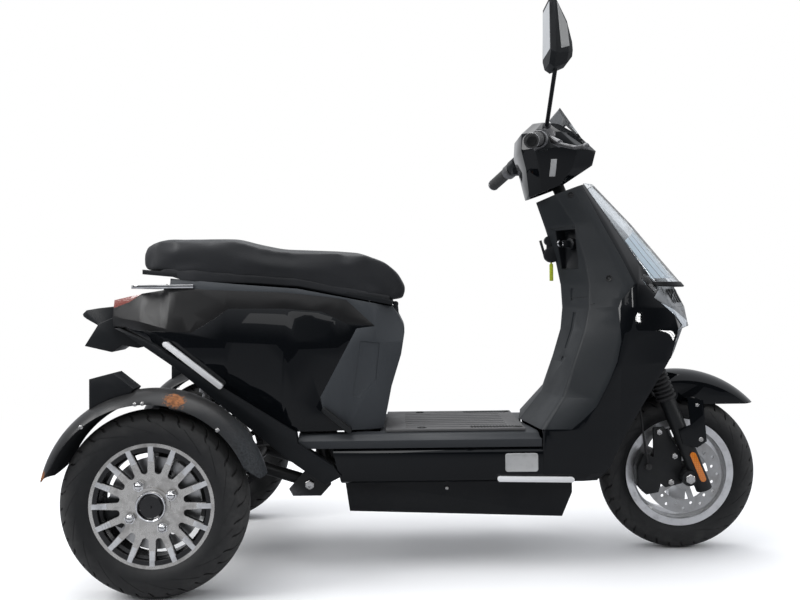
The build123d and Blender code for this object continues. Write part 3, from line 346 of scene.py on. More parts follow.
def newMaterial(name, colour, roughness, **sockets):
    material = bpy.data.materials.new(name)
    material.use_nodes = True
    shader = material.node_tree.nodes["Principled BSDF"]
    shader.inputs["Base Color"].default_value = (*colour, 1)
    shader.inputs["Roughness"].default_value = roughness
    for label, value in sockets.items():
        shader.inputs[label.replace("_", " ")].default_value = value
    return material, material.node_tree, shader


def mixColours(tree, mask, first, second):
    node = addNode(tree, "Mix", data_type="RGBA")
    tree.links.new(mask, node.inputs[0])
    for slot, value in ((6, first), (7, second)):
        if isinstance(value, tuple):
            node.inputs[slot].default_value = (*value, 1)
        else:
            tree.links.new(value, node.inputs[slot])
    return node.outputs[2]


def spanOf(tree, value, low, high):
    node = addNode(tree, "MapRange")
    tree.links.new(value, node.inputs["Value"])
    node.inputs["To Min"].default_value = low
    node.inputs["To Max"].default_value = high
    return node.outputs["Result"]


def roughen(tree, shader, mask, low, high):  # roughness that runs from low to high over a mask
    tree.links.new(spanOf(tree, mask, low, high), shader.inputs["Roughness"])


def bumpFrom(tree, shader, height, strength, distance):
    node = addNode(tree, "Bump")
    node.inputs["Strength"].default_value = strength
    node.inputs["Distance"].default_value = distance
    tree.links.new(height, node.inputs["Height"])
    tree.links.new(node.outputs["Normal"], shader.inputs["Normal"])
    return node


def plasticMaterial(name, colour, worn, dusty, roughness, grain=1100, pebble=0.35, bump=0.25, depth=0.0002):
    material, tree, shader = newMaterial(name, colour, roughness, Specular_IOR_Level=0.27)
    dust = useEffect(tree, "dust", Scale=26, Ground=0.42)
    edges = useEffect(tree, "edges", Reach=0.55, Breakup=90)
    patches = useEffect(tree, "patches", Scale=7, Low=0.38, High=0.7)
    base = mixColours(tree, edges.outputs["Mask"], colour, worn)
    base = mixColours(tree, math2(tree, "MULTIPLY", dust.outputs["Mask"], 0.2), base, dusty)
    tree.links.new(base, shader.inputs["Base Color"])
    roughen(tree, shader, patches.outputs["Mask"], roughness - 0.07, roughness + 0.08)
    pebbles = useEffect(tree, "grain", Scale=grain, Pebble=pebble)
    bumpFrom(tree, shader, pebbles.outputs["Height"], bump, depth)
    return material


def glossMaterial(name, colour, roughness=0.025):
    material, tree, shader = newMaterial(name, colour, roughness, Specular_IOR_Level=0.25, Coat_Weight=0.05,
                                         Coat_Roughness=0.03)
    dust = useEffect(tree, "dust", Scale=55, Ground=0.3)
    patches = useEffect(tree, "patches", Scale=11, Low=0.35, High=0.8)
    base = mixColours(tree, math2(tree, "MULTIPLY", dust.outputs["Mask"], 0.04), colour, (0.2, 0.19, 0.17))
    tree.links.new(base, shader.inputs["Base Color"])
    roughen(tree, shader, patches.outputs["Mask"], roughness, roughness + 0.03)
    swell = addNode(tree, "TexNoise")
    swell.inputs["Scale"].default_value = 9
    bumpFrom(tree, shader, swell.outputs["Fac"], 0.03, 0.0012)
    place = addNode(tree, "TexCoord")
    tree.links.new(place.outputs["Object"], swell.inputs["Vector"])
    return material


def metalMaterial(name, colour, roughness, dull, metallic=1.0, grain=500, bump=0.06):
    material, tree, shader = newMaterial(name, colour, roughness, Metallic=metallic)
    patches = useEffect(tree, "patches", Scale=38, Low=0.42, High=0.72)
    base = mixColours(tree, patches.outputs["Mask"], colour, dull)
    tree.links.new(base, shader.inputs["Base Color"])
    roughen(tree, shader, patches.outputs["Mask"], roughness, roughness + 0.18)
    pits = useEffect(tree, "grain", Scale=grain, Pebble=0.2)
    bumpFrom(tree, shader, pits.outputs["Height"], bump, 0.0003)
    return material


def paintedMaterial(name, colour, roughness, bare=(0.3, 0.3, 0.31)):  # sprayed frame and castings
    material, tree, shader = newMaterial(name, colour, roughness, Specular_IOR_Level=0.35)
    edges = useEffect(tree, "edges", Reach=0.6, Breakup=140)
    dust = useEffect(tree, "dust", Scale=40, Ground=0.36)
    base = mixColours(tree, math2(tree, "MULTIPLY", edges.outputs["Mask"], 0.5), colour, bare)
    base = mixColours(tree, math2(tree, "MULTIPLY", dust.outputs["Mask"], 0.2), base, (0.15, 0.14, 0.13))
    tree.links.new(base, shader.inputs["Base Color"])
    peel = useEffect(tree, "grain", Scale=420, Pebble=0.15)
    bumpFrom(tree, shader, peel.outputs["Height"], 0.12, 0.0003)
    return material


def tyreMaterial(name, centre, treadRadius):
    colour = (0.0105, 0.0108, 0.0115)
    material, tree, shader = newMaterial(name, colour, 0.62, Specular_IOR_Level=0.4)
    polar = useEffect(tree, "polar", Centre=centre)
    patches = useEffect(tree, "patches", Scale=34, Low=0.4, High=0.75)
    tread = addNode(tree, "MapRange")  # dusty towards the tread
    tree.links.new(polar.outputs["Radius"], tread.inputs["Value"])
    tread.inputs["From Min"].default_value = treadRadius - 0.05
    tread.inputs["From Max"].default_value = treadRadius
    uneven = math2(tree, "MULTIPLY_ADD", patches.outputs["Mask"], 0.35)  # over an even half
    dirty = math2(tree, "MULTIPLY", tread.outputs["Result"], uneven)
    soiled = math2(tree, "ADD", math2(tree, "MULTIPLY", patches.outputs["Mask"], 0.07), dirty, True)
    base = mixColours(tree, soiled, colour, (0.085, 0.083, 0.080))
    tree.links.new(base, shader.inputs["Base Color"])
    rings = math2(tree, "SINE", math2(tree, "MULTIPLY", polar.outputs["Radius"], 2600), 0)
    grain = useEffect(tree, "grain", Scale=800, Pebble=0.3)
    height = math2(tree, "ADD", math2(tree, "MULTIPLY", rings, 0.12), grain.outputs["Height"])
    bumpFrom(tree, shader, height, 0.3, 0.0004)
    return material


def discMaterial(name, centre):
    material, tree, shader = newMaterial(name, (0.5, 0.5, 0.5), 0.3, Metallic=1.0)
    polar = useEffect(tree, "polar", Centre=centre)
    rings = addNode(tree, "TexNoise", noise_dimensions="1D")
    rings.inputs["Scale"].default_value = 900
    rings.inputs["Detail"].default_value = 4
    tree.links.new(polar.outputs["Radius"], rings.inputs["W"])
    patches = useEffect(tree, "patches", Scale=30, Low=0.35, High=0.8)
    base = mixColours(tree, patches.outputs["Mask"], (0.52, 0.52, 0.52), (0.36, 0.35, 0.34))
    tree.links.new(base, shader.inputs["Base Color"])
    roughen(tree, shader, rings.outputs["Fac"], 0.22, 0.5)
    bumpFrom(tree, shader, rings.outputs["Fac"], 0.2, 0.0003)
    return material


def leatherMaterial():
    colour = (0.0082, 0.0090, 0.0106)
    material, tree, shader = newMaterial("seatLeather", colour, 0.5, Sheen_Weight=0.08, Sheen_Roughness=0.4,
                                         Specular_IOR_Level=0.38)
    pebble = useEffect(tree, "grain", Scale=420, Pebble=0.85)
    folds = useEffect(tree, "patches", Scale=5, Low=0.3, High=0.8)
    shine = useEffect(tree, "patches", Scale=3, Low=0.35, High=0.75)
    base = mixColours(tree, shine.outputs["Mask"], colour, (0.019, 0.020, 0.023))
    tree.links.new(base, shader.inputs["Base Color"])
    roughen(tree, shader, shine.outputs["Mask"], 0.44, 0.58)
    height = math2(tree, "ADD", pebble.outputs["Height"],
                   math2(tree, "MULTIPLY", folds.outputs["Mask"], 0.8))
    bumpFrom(tree, shader, height, 0.35, 0.0005)
    return material


def glassMaterial(name, colour, roughness=0.03, alpha=1.0, transmission=1.0):
    material, tree, shader = newMaterial(name, colour, roughness, Transmission_Weight=transmission,
                                         IOR=1.49)
    shader.inputs["Alpha"].default_value = alpha
    patches = useEffect(tree, "patches", Scale=16, Low=0.4, High=0.8)
    roughen(tree, shader, patches.outputs["Mask"], roughness, roughness + 0.06)
    return material


def lensMaterial(name, colour, dark, facet=190):  # moulded reflector or lamp lens with prism cells
    material, tree, shader = newMaterial(name, colour, 0.16, Coat_Weight=1.0, Coat_Roughness=0.04)
    cells = addNode(tree, "TexVoronoi", distance="CHEBYCHEV")
    cells.inputs["Scale"].default_value = facet
    cells.inputs["Randomness"].default_value = 0.0
    place = addNode(tree, "TexCoord")
    tree.links.new(place.outputs["Object"], cells.inputs["Vector"])
    edge = math2(tree, "MULTIPLY", cells.outputs["Distance"], 1.2, True)
    tree.links.new(mixColours(tree, edge, colour, dark), shader.inputs["Base Color"])
    bumpFrom(tree, shader, cells.outputs["Distance"], 0.5, 0.001)
    return material


wheelZones = {  # heights along the axle and radii at which the finish changes
    "faceHeight": 0.0292,
    "faceRadius": 0.1225,
    "lipHeight": 0.0315,
    "lipRadius": 0.133,
    "nutRadii": (0.0425, 0.0635),
}


def stepOf(tree, value, edge, soft=0.0006):  # 0 below the edge, 1 above it
    node = addNode(tree, "MapRange")
    tree.links.new(value, node.inputs["Value"])
    node.inputs["From Min"].default_value = edge - soft
    node.inputs["From Max"].default_value = edge + soft
    return node.outputs["Result"]


def rimMaterial(name, centre, outward):  # machined face, black barrel
    silver, black = (0.60, 0.585, 0.56), (0.006, 0.006, 0.007)
    material, tree, shader = newMaterial(name, silver, 0.3)
    polar = useEffect(tree, "polar", Centre=centre)
    across = math2(tree, "MULTIPLY", polar.outputs["Across"], outward)
    radius = polar.outputs["Radius"]
    face = math2(tree, "MULTIPLY", stepOf(tree, across, wheelZones["faceHeight"]),
                 math2(tree, "SUBTRACT", 1, stepOf(tree, radius, wheelZones["faceRadius"])))
    lip = math2(tree, "MULTIPLY", stepOf(tree, across, wheelZones["lipHeight"]),
                stepOf(tree, radius, wheelZones["lipRadius"]))
    machined = math2(tree, "ADD", face, lip, True)
    patches = useEffect(tree, "patches", Scale=40, Low=0.42, High=0.75)
    shaded = mixColours(tree, patches.outputs["Mask"], silver, (0.40, 0.385, 0.365))
    tree.links.new(mixColours(tree, machined, black, shaded), shader.inputs["Base Color"])
    tree.links.new(math2(tree, "MULTIPLY", machined, 0.85), shader.inputs["Metallic"])
    roughen(tree, shader, patches.outputs["Mask"], 0.26, 0.42)
    grain = useEffect(tree, "grain", Scale=650, Pebble=0.2)
    bumpFrom(tree, shader, grain.outputs["Height"], 0.08, 0.0003)
    return material


def hubMaterial(name, centre):  # black cap, chromed nuts, black flange behind
    material, tree, shader = newMaterial(name, (0.01, 0.01, 0.01), 0.2)
    polar = useEffect(tree, "polar", Centre=centre)
    inner, outer = wheelZones["nutRadii"]
    radius = polar.outputs["Radius"]
    nuts = math2(tree, "MULTIPLY", stepOf(tree, radius, inner),
                 math2(tree, "SUBTRACT", 1, stepOf(tree, radius, outer)))
    patches = useEffect(tree, "patches", Scale=50, Low=0.4, High=0.7)
    tree.links.new(mixColours(tree, nuts, (0.008, 0.008, 0.009), (0.5, 0.5, 0.5)),
                   shader.inputs["Base Color"])
    tree.links.new(nuts, shader.inputs["Metallic"])
    roughen(tree, shader, patches.outputs["Mask"], 0.12, 0.24)
    return material


def placeMask(tree, centre, radius, breakup, strength):  # ragged spot about a point
    place = addNode(tree, "TexCoord")
    gap = addNode(tree, "VectorMath", operation="DISTANCE")
    gap.inputs[1].default_value = centre
    tree.links.new(place.outputs["Object"], gap.inputs[0])
    noise = addNode(tree, "TexNoise")
    noise.inputs["Scale"].default_value = breakup
    noise.inputs["Detail"].default_value = 8
    noise.inputs["Roughness"].default_value = 0.7
    tree.links.new(place.outputs["Object"], noise.inputs["Vector"])
    near = math2(tree, "SUBTRACT", 1, math2(tree, "DIVIDE", gap.outputs["Value"], radius), True)
    broken = math2(tree, "MULTIPLY", math2(tree, "SUBTRACT", noise.outputs["Fac"], 0.5), strength)
    ragged = math2(tree, "ADD", near, broken)
    return math2(tree, "MULTIPLY", math2(tree, "SUBTRACT", ragged, 0.42), 7, True)


fenderMarks = {
    "scuffed": (-0.47, -0.345),  # x where the scuffing starts and where it is full
    "rustPatch": ((-0.548, -0.343, 0.444), 0.044, 120, 1.2),  # place, radius, breakup, strength
    "rustTip": ((-0.842, -0.340, 0.275), 0.045, 140, 0.9),
    "scratchTilt": -52,
    "scratchScale": (9, 260, 240),
}


def fenderMaterial():  # dark sheet, scuffed at the front ends, with rust where the paint has gone
    dark = (0.0065, 0.0080, 0.0100)
    material, tree, shader = newMaterial("fenderSheet", dark, 0.36, Specular_IOR_Level=0.2)
    place = addNode(tree, "TexCoord")
    split = addNode(tree, "SeparateXYZ")
    tree.links.new(place.outputs["Object"], split.inputs[0])
    stretch = addNode(tree, "Mapping")
    stretch.inputs["Rotation"].default_value = (0, math.radians(fenderMarks["scratchTilt"]), 0)
    stretch.inputs["Scale"].default_value = fenderMarks["scratchScale"]
    tree.links.new(place.outputs["Object"], stretch.inputs["Vector"])
    streaks = addNode(tree, "TexNoise")
    streaks.inputs["Scale"].default_value = 1
    streaks.inputs["Detail"].default_value = 6
    tree.links.new(stretch.outputs["Vector"], streaks.inputs["Vector"])
    front = addNode(tree, "MapRange", interpolation_type="SMOOTHSTEP")
    tree.links.new(split.outputs["X"], front.inputs["Value"])
    start, full = fenderMarks["scuffed"]
    front.inputs["From Min"].default_value = start
    front.inputs["From Max"].default_value = full
    scratches = math2(tree, "MULTIPLY", math2(tree, "SUBTRACT", streaks.outputs["Fac"], 0.18), 1.5, True)
    scuffed = math2(tree, "MULTIPLY", front.outputs["Result"], scratches, True)
    dust = useEffect(tree, "dust", Scale=34, Ground=0.34)
    patches = useEffect(tree, "patches", Scale=19, Low=0.4, High=0.72)
    base = mixColours(tree, math2(tree, "MULTIPLY", patches.outputs["Mask"], 0.6), dark,
                      (0.013, 0.015, 0.018))
    base = mixColours(tree, math2(tree, "MULTIPLY", scuffed, 0.5), base, (0.15, 0.165, 0.18))
    base = mixColours(tree, math2(tree, "MULTIPLY", dust.outputs["Mask"], 0.5), base, (0.13, 0.115, 0.1))
    patch = placeMask(tree, *fenderMarks["rustPatch"])
    tip = placeMask(tree, *fenderMarks["rustTip"])
    rust = math2(tree, "ADD", patch, tip, True)
    shades = useEffect(tree, "patches", Scale=90, Low=0.35, High=0.7)
    orange = mixColours(tree, shades.outputs["Mask"], (0.13, 0.055, 0.024), (0.33, 0.13, 0.05))
    base = mixColours(tree, rust, base, orange)
    tree.links.new(base, shader.inputs["Base Color"])
    dull = math2(tree, "ADD", spanOf(tree, patches.outputs["Mask"], 0.28, 0.44),
                 math2(tree, "MULTIPLY", rust, 0.5))
    tree.links.new(dull, shader.inputs["Roughness"])
    pits = useEffect(tree, "grain", Scale=500, Pebble=0.4)
    height = math2(tree, "ADD", math2(tree, "MULTIPLY", pits.outputs["Height"], 0.4),
                   math2(tree, "MULTIPLY", rust, 0.6))
    bumpFrom(tree, shader, height, 0.22, 0.0006)
    return material


def shockMaterial():  # chromed spring turns over a black damper
    material, tree, shader = newMaterial("shockMetal", (0.3, 0.3, 0.3), 0.25, Metallic=0.8)
    patches = useEffect(tree, "patches", Scale=60, Low=0.4, High=0.7)
    tree.links.new(mixColours(tree, patches.outputs["Mask"], (0.35, 0.35, 0.36), (0.12, 0.115, 0.11)),
                   shader.inputs["Base Color"])
    roughen(tree, shader, patches.outputs["Mask"], 0.2, 0.45)
    grain = useEffect(tree, "grain", Scale=500, Pebble=0.3)
    bumpFrom(tree, shader, grain.outputs["Height"], 0.1, 0.0003)
    return material


def visorReflectionMaterial():  # painted sky reflection on the visor: a pale bluish sheet with thin dark reflected lines along it
    reflectedSky, line = (0.80, 0.91, 0.99), (0.03, 0.04, 0.06)
    material, tree, shader = newMaterial("paintedVisorReflection", reflectedSky, 0.22)
    laid = addNode(tree, "UVMap")
    split = addNode(tree, "SeparateXYZ")
    tree.links.new(laid.outputs["UV"], split.inputs[0])
    wave = math2(tree, "FRACT", math2(tree, "MULTIPLY", split.outputs["X"], 4.5), 0)
    thin = math2(tree, "LESS_THAN", math2(tree, "ABSOLUTE", math2(tree, "SUBTRACT", wave, 0.5), 0), 0.045)
    cloud = useEffect(tree, "patches", Scale=9, Low=0.35, High=0.75)
    reflectionTone = mixColours(tree, cloud.outputs["Mask"], reflectedSky, (0.90, 0.96, 1.0))
    tree.links.new(mixColours(tree, thin, reflectionTone, line), shader.inputs["Base Color"])
    return material


rearAxle = ((-0.606, 0.303, 0.214), (-0.606, -0.303, 0.214))
frontAxle = (0.683, 0, 0.204)

gloss = glossMaterial("glossBlack", (0.0022, 0.0030, 0.0042))
matte = plasticMaterial("matteShield", (0.013, 0.0155, 0.018), (0.045, 0.047, 0.05), (0.11, 0.108, 0.105),
                        0.5)
matteDark = plasticMaterial("matteDark", (0.0055, 0.0068, 0.0085), (0.035, 0.036, 0.038),
                            (0.09, 0.085, 0.08), 0.5)
cowlGrey = plasticMaterial("cowlGrey", (0.0085, 0.0085, 0.009), (0.06, 0.06, 0.06), (0.14, 0.13, 0.12), 0.4,
                           900, 0.2, 0.15)
deckEdge = plasticMaterial("deckEdge", (0.032, 0.035, 0.039), (0.09, 0.09, 0.092), (0.13, 0.125, 0.12),
                           0.46)
matRubber = plasticMaterial("matRubber", (0.085, 0.085, 0.087), (0.17, 0.17, 0.17), (0.22, 0.2, 0.18), 0.62,
                            700, 0.5, 0.4)
softRubber = plasticMaterial("softRubber", (0.02, 0.02, 0.021), (0.05, 0.05, 0.05), (0.1, 0.09, 0.08), 0.6,
                             900, 0.4, 0.3)
framePaint = paintedMaterial("framePaint", (0.006, 0.0065, 0.007), 0.38)
castBlack = paintedMaterial("castBlack", (0.008, 0.009, 0.010), 0.42, (0.4, 0.4, 0.41))
alloyFace = metalMaterial("alloyFace", (0.84, 0.84, 0.845), 0.3, (0.66, 0.66, 0.66))
chrome = metalMaterial("chrome", (0.78, 0.78, 0.79), 0.08, (0.55, 0.55, 0.56), bump=0.02)
steel = metalMaterial("boltSteel", (0.62, 0.61, 0.6), 0.24, (0.42, 0.4, 0.37))
nosePaint = metalMaterial("nosePaint", (0.34, 0.35, 0.36), 0.36, (0.28, 0.29, 0.3), metallic=0.75,
                          bump=0.04)
leverPaint = metalMaterial("leverPaint", (0.16, 0.16, 0.165), 0.34, (0.1, 0.1, 0.1), metallic=0.7)
blankPlate = metalMaterial("blankPlate", (0.55, 0.55, 0.545), 0.5, (0.46, 0.46, 0.45), metallic=0.35)
visorSmoke = glassMaterial("visorSmoke", (0.82, 0.85, 0.88), 0.02)
screenSmoke = glassMaterial("screenSmoke", (0.10, 0.105, 0.11), 0.05)
clearLens = glassMaterial("clearLens", (0.93, 0.95, 0.97), 0.02)
amberLens = lensMaterial("amberLens", (0.85, 0.26, 0.02), (0.45, 0.1, 0.01))
redLens = lensMaterial("redLens", (0.34, 0.12, 0.10), (0.16, 0.035, 0.03))
whiteStrip = lensMaterial("whiteStrip", (0.97, 0.97, 0.975), (0.88, 0.885, 0.89), 400)
leather = leatherMaterial()
fenderSheet = fenderMaterial()
lime = plasticMaterial("limeTag", (0.50, 0.58, 0.03), (0.62, 0.68, 0.2), (0.3, 0.3, 0.2), 0.4)
mirrorGrey = plasticMaterial("mirrorGrey", (0.42, 0.42, 0.41), (0.3, 0.3, 0.3), (0.2, 0.2, 0.19), 0.45)
pedestalGrey = plasticMaterial("pedestalGrey", (0.050, 0.055, 0.061), (0.05, 0.052, 0.055),
                               (0.09, 0.09, 0.088), 0.5)
mirrorGlass = metalMaterial("mirrorGlass", (0.8, 0.82, 0.84), 0.03, (0.74, 0.76, 0.78), bump=0.0)
# painted highlight: a pale bluish sheet standing in for the sky's reflection on the nose's upward chamfer
paintedFacetHighlight = metalMaterial("paintedFacetHighlight", (0.74, 0.80, 0.86), 0.16, (0.62, 0.67, 0.72), metallic=0.35,
                            bump=0.02)
# painted reflection: a pale sheet standing in for the sky mirrored in the visor's sides
paintedVisorReflection = visorReflectionMaterial()
darkTrim = plasticMaterial("darkTrim", (0.003, 0.0035, 0.004), (0.02, 0.02, 0.02), (0.06, 0.06, 0.06), 0.45)
shockMetal = shockMaterial()
print("materials made:", len(bpy.data.materials))


# Shaping helpers

def deselectAll():
    if bpy.context.object and bpy.context.object.mode != "OBJECT":
        bpy.ops.object.mode_set(mode="OBJECT")
    bpy.ops.object.select_all(action="DESELECT")


def pick(piece):
    deselectAll()
    piece.select_set(True)
    bpy.context.view_layer.objects.active = piece


def edit(piece):
    pick(piece)
    bpy.ops.object.mode_set(mode="EDIT")
    bpy.ops.mesh.select_mode(type="FACE")


def done():
    bpy.ops.object.mode_set(mode="OBJECT")


def applyModifier(piece, kind, **values):
    pick(piece)
    modifier = piece.modifiers.new(kind.lower(), kind)
    for key, value in values.items():
        setattr(modifier, key, value)
    bpy.ops.object.modifier_apply(modifier=modifier.name)


def smooth(piece, degrees=35):
    pick(piece)
    bpy.ops.object.shade_smooth_by_angle(angle=math.radians(degrees))


def dress(piece, material):
    piece.data.materials.clear()
    piece.data.materials.append(material)


def settle(piece, name, body, material=None):  # name, body and finish of a finished piece
    piece.name = name
    piece.data.name = name
    if material:
        dress(piece, material)
    pick(piece)
    bpy.ops.object.transform_apply(location=True, rotation=True, scale=True)
    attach(piece, body)
    return piece


def selectFaces(piece, test):  # in edit mode: faces whose centre and normal pass the test
    mesh = bmesh.from_edit_mesh(piece.data)
    for face in mesh.faces:
        face.select = bool(test(face.calc_center_median(), face.normal))
    bmesh.update_edit_mesh(piece.data)


# Rigid panels: softened copies of the CAD nodes

panelEdges = {  # finish, and width of the softened edge
    "leg_shield": (matte, 0.0016), "front_fairing": (gloss, 0.0012), "side_skirts": (gloss, 0.0014),
    "pedestal": (pedestalGrey, 0.002), "tail_cowl": (cowlGrey, 0.0012), "side_panels": (gloss, 0.0014),
    "lower_beams": (matteDark, 0.003), "floor_board": (deckEdge, 0.002), "front_fender": (gloss, 0.0012),
    "tail_mudguard": (matteDark, 0.0025), "battery_box": (matteDark, 0.004),
    "handlebar_pod": (gloss, 0.0012), "fender_lamps": (matteDark, 0.003), "nose_panel": (nosePaint, 0.0008),
    "grab_rail": (chrome, 0.002), "footrests": (castBlack, 0.002), "seat_base": (matteDark, 0.002),
    "storage_bucket": (matteDark, 0.001), "bag_hook": (matteDark, 0.0015),
    "rear_calipers": (castBlack, 0.0016), "front_caliper": (castBlack, 0.002), "fork": (castBlack, 0.0016),
    "levers": (leverPaint, 0.0008), "light_strips": (whiteStrip, 0.0012),
    "axle_housing": (framePaint, 0.003), "mirror_right": (matteDark, 0.003),
    "floor_mat": (matRubber, 0.0008), "ignition_lock": (matteDark, 0.001),
    "rear_fenders": (fenderSheet, 0.0008), "tail_lamp": (redLens, 0.001), "visor": (visorSmoke, 0.0008),
    "headlight": (clearLens, 0.002), "turn_lamps": (clearLens, 0.0008),
    "fork_reflectors": (amberLens, 0.0015), "switch_housings": (matteDark, 0.0015),
}


def softened(nodeName, material, edgeWidth, segments=2, sharp=24, flat=0.5):
    piece = bpy.data.objects.new(nodeName + "_panel", nodes[nodeName].data.copy())
    scene.collection.objects.link(piece)
    edit(piece)
    bpy.ops.mesh.select_all(action="SELECT")
    bpy.ops.mesh.customdata_custom_splitnormals_clear()
    bpy.ops.mesh.remove_doubles(threshold=0.00002)
    bpy.ops.mesh.dissolve_limited(angle_limit=math.radians(flat))
    done()
    applyModifier(piece, "BEVEL", width=edgeWidth, segments=segments, limit_method="ANGLE",
                  angle_limit=math.radians(sharp), harden_normals=False, use_clamp_overlap=True)
    smooth(piece, 30)
    settle(piece, nodeName + "_panel", bodyOfNode[nodeName], material)
    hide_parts(nodeName)
    return piece


for nodeName, (material, edgeWidth) in panelEdges.items():
    softened(nodeName, material, edgeWidth)
print("panels softened:", len(panelEdges))

carried = {  # nodes that keep the CAD shape
    "front_rim": alloyFace, "front_axle": steel, "swing_frame": framePaint, "main_frame": framePaint,
    "shocks": shockMetal, "fork_gaiters": softRubber, "handlebar": framePaint, "grips": softRubber,
    "brake_hose": softRubber, "flyscreen": screenSmoke,
}
for nodeName, material in carried.items():
    dress(nodes[nodeName], material)
for side, centre in zip(("left", "right"), rearAxle):
    outward = 1 if side == "left" else -1
    dress(nodes["rear_disc_" + side], discMaterial("rearDisc_" + side, centre))
    dress(nodes["rear_rim_" + side], rimMaterial("rearRim_" + side, centre, outward))
    dress(nodes["rear_hub_" + side], hubMaterial("rearHub_" + side, centre))
dress(nodes["front_disc"], discMaterial("frontDisc", frontAxle))


# Tyres: a section spun round, treads cut in, then swept into curves

tread = {
    "steps": 432,
    "blocks": 18,
    "treadRows": 30,
    "wallRows": 14,
    "grooveDepth": 0.0045,
    "crescentDepth": 0.0011,
    "treadSweep": 15,  # degrees that a groove runs on from the shoulder to the middle
    "wallSweep": 24,
    "flangeRadius": 0.1413,
    "seatRadius": 0.1273,
    "rimShare": 0.72,  # bead width as a share of the tyre's
    "shoulderShare": 0.86,
    "shoulderDrop": 0.016,
    "middleRib": 0.0035,
    "grooveLow": 0.007,  # how far below the shoulder a groove starts
    "shortFrom": 0.45,  # share of the half width at which a short groove starts
    "crescentColumn": 9,
    "crescentSpan": (0.032, 0.009),
    "crescentFrom": 0.6,
    "wallFall": 0.035,
}


def arcThrough(first, middle, last, count):  # points on the circle through three (across, radius) points
    (ax, ay), (bx, by), (cx, cy) = first, middle, last
    double = 2 * (ax * (by - cy) + bx * (cy - ay) + cx * (ay - by))
    a, b, c = [x * x + y * y for x, y in (first, middle, last)]
    ux = (a * (by - cy) + b * (cy - ay) + c * (ay - by)) / double
    uy = (a * (cx - bx) + b * (ax - cx) + c * (bx - ax)) / double
    radius = math.hypot(ax - ux, ay - uy)
    turns = [math.atan2(y - uy, x - ux) for x, y in (first, middle, last)]
    for k in (1, 2):
        while turns[k] - turns[k - 1] > math.pi:
            turns[k] -= 2 * math.pi
        while turns[k] - turns[k - 1] < -math.pi:
            turns[k] += 2 * math.pi
    spread = [turns[0] + (turns[2] - turns[0]) * k / count for k in range(count)]
    return [(ux + radius * math.cos(turn), uy + radius * math.sin(turn)) for turn in spread]


def tyreSection(radius, half, setup):
    lip = setup["flangeRadius"]
    seat = setup["seatRadius"]
    bead = half * setup["rimShare"]
    waist = radius * 0.5 + lip * 0.44
    shoulder = (half * setup["shoulderShare"], radius - setup["shoulderDrop"])
    crown = (0, radius)
    points = arcThrough((bead, lip), (half, waist), shoulder, setup["wallRows"])
    points += arcThrough(shoulder, crown, (-shoulder[0], shoulder[1]), setup["treadRows"])
    points += arcThrough((-shoulder[0], shoulder[1]), (-half, waist), (-bead, lip), setup["wallRows"])
    inner = bead - 0.0043
    return points + [(-bead, lip), (-inner, lip), (-inner, seat), (0, seat), (inner, seat), (inner, lip)]


def makeTyre(nodeName, centre, setup):
    low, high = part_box(nodeName)
    radius = (high.x - low.x) / 2 - 0.0001
    half = (high.y - low.y) / 2 - 0.0002
    section = tyreSection(radius, half, setup)
    deselectAll()
    bpy.ops.mesh.primitive_circle_add(vertices=len(section), radius=half)
    piece = bpy.context.object
    for vertex, (across, reach) in zip(piece.data.vertices, section):
        vertex.co = (centre[0], centre[1] + across, centre[2] + reach)
    edit(piece)
    bpy.ops.mesh.select_all(action="SELECT")
    bpy.ops.mesh.spin(steps=setup["steps"], angle=2 * math.pi, center=centre, axis=(0, 1, 0))
    bpy.ops.mesh.select_all(action="SELECT")
    bpy.ops.mesh.remove_doubles(threshold=0.00002)
    bpy.ops.mesh.normals_make_consistent(inside=False)
    columns = setup["steps"] // setup["blocks"]
    shoulder = half * setup["shoulderShare"]
    edge = radius - setup["shoulderDrop"]

    def where(point):  # column, distance across and radius of a face
        ahead, up = point.x - centre[0], point.z - centre[2]
        turn = math.degrees(math.atan2(up, ahead)) % 360
        return int(turn / 360 * setup["steps"]) % columns, point.y - centre[1], math.hypot(ahead, up)

    def grooved(point, normal):
        column, across, reach = where(point)
        if across < 0:
            column = (column + columns // 2) % columns
        if reach < edge - setup["grooveLow"]:
            return False
        long = column < 2 and abs(across) > setup["middleRib"]
        outer = abs(across) > half * setup["shortFrom"] and reach > edge - 0.002
        short = column in (columns // 2, columns // 2 + 1) and outer
        return long or short

    def crescent(point, normal):
        column, across, reach = where(point)
        deep, shallow = setup["crescentSpan"]
        level = edge - deep < reach < edge - shallow
        return column == setup["crescentColumn"] and level and abs(across) > half * setup["crescentFrom"]

    for test, depth in ((grooved, setup["grooveDepth"]), (crescent, setup["crescentDepth"])):
        selectFaces(piece, test)
        bpy.ops.mesh.extrude_region_shrink_fatten(TRANSFORM_OT_shrink_fatten={"value": -depth})
    done()
    for vertex in piece.data.vertices:  # sweep the cuts into curves
        ahead, across, up = vertex.co.x - centre[0], vertex.co.y - centre[1], vertex.co.z - centre[2]
        reach = math.hypot(ahead, up)
        inward = 1 - min(abs(across) / shoulder, 1)
        fallen = min(max((edge - reach) / setup["wallFall"], 0), 1)
        turn = math.radians(setup["treadSweep"] * inward ** 1.8 - setup["wallSweep"] * fallen ** 1.5)
        vertex.co = (centre[0] + ahead * math.cos(turn) - up * math.sin(turn), vertex.co.y,
                     centre[2] + ahead * math.sin(turn) + up * math.cos(turn))
    smooth(piece, 32)
    name = nodeName.replace("_", "") + "_treaded"
    settle(piece, name, bodyOfNode[nodeName], tyreMaterial(nodeName + "_rubber", centre, radius))
    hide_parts(nodeName)
    return piece


for nodeName, centre in (("rear_tyre_left", rearAxle[0]), ("rear_tyre_right", rearAxle[1]),
                         ("front_tyre", frontAxle)):
    makeTyre(nodeName, centre, tread)
print("tyres made")


# Seat cushion: foam under a stretched cover

cushionSetup = {
    "voxel": 0.007,
    "rounding": 14,
    "pressure": 1.2,
    "frames": 20,
    "most": 0.005,  # how far a point may move
    "inset": 0.006,
    "stretch": 25,  # stiffness of the cover against stretching and squeezing
    "bending": 1.5,
}


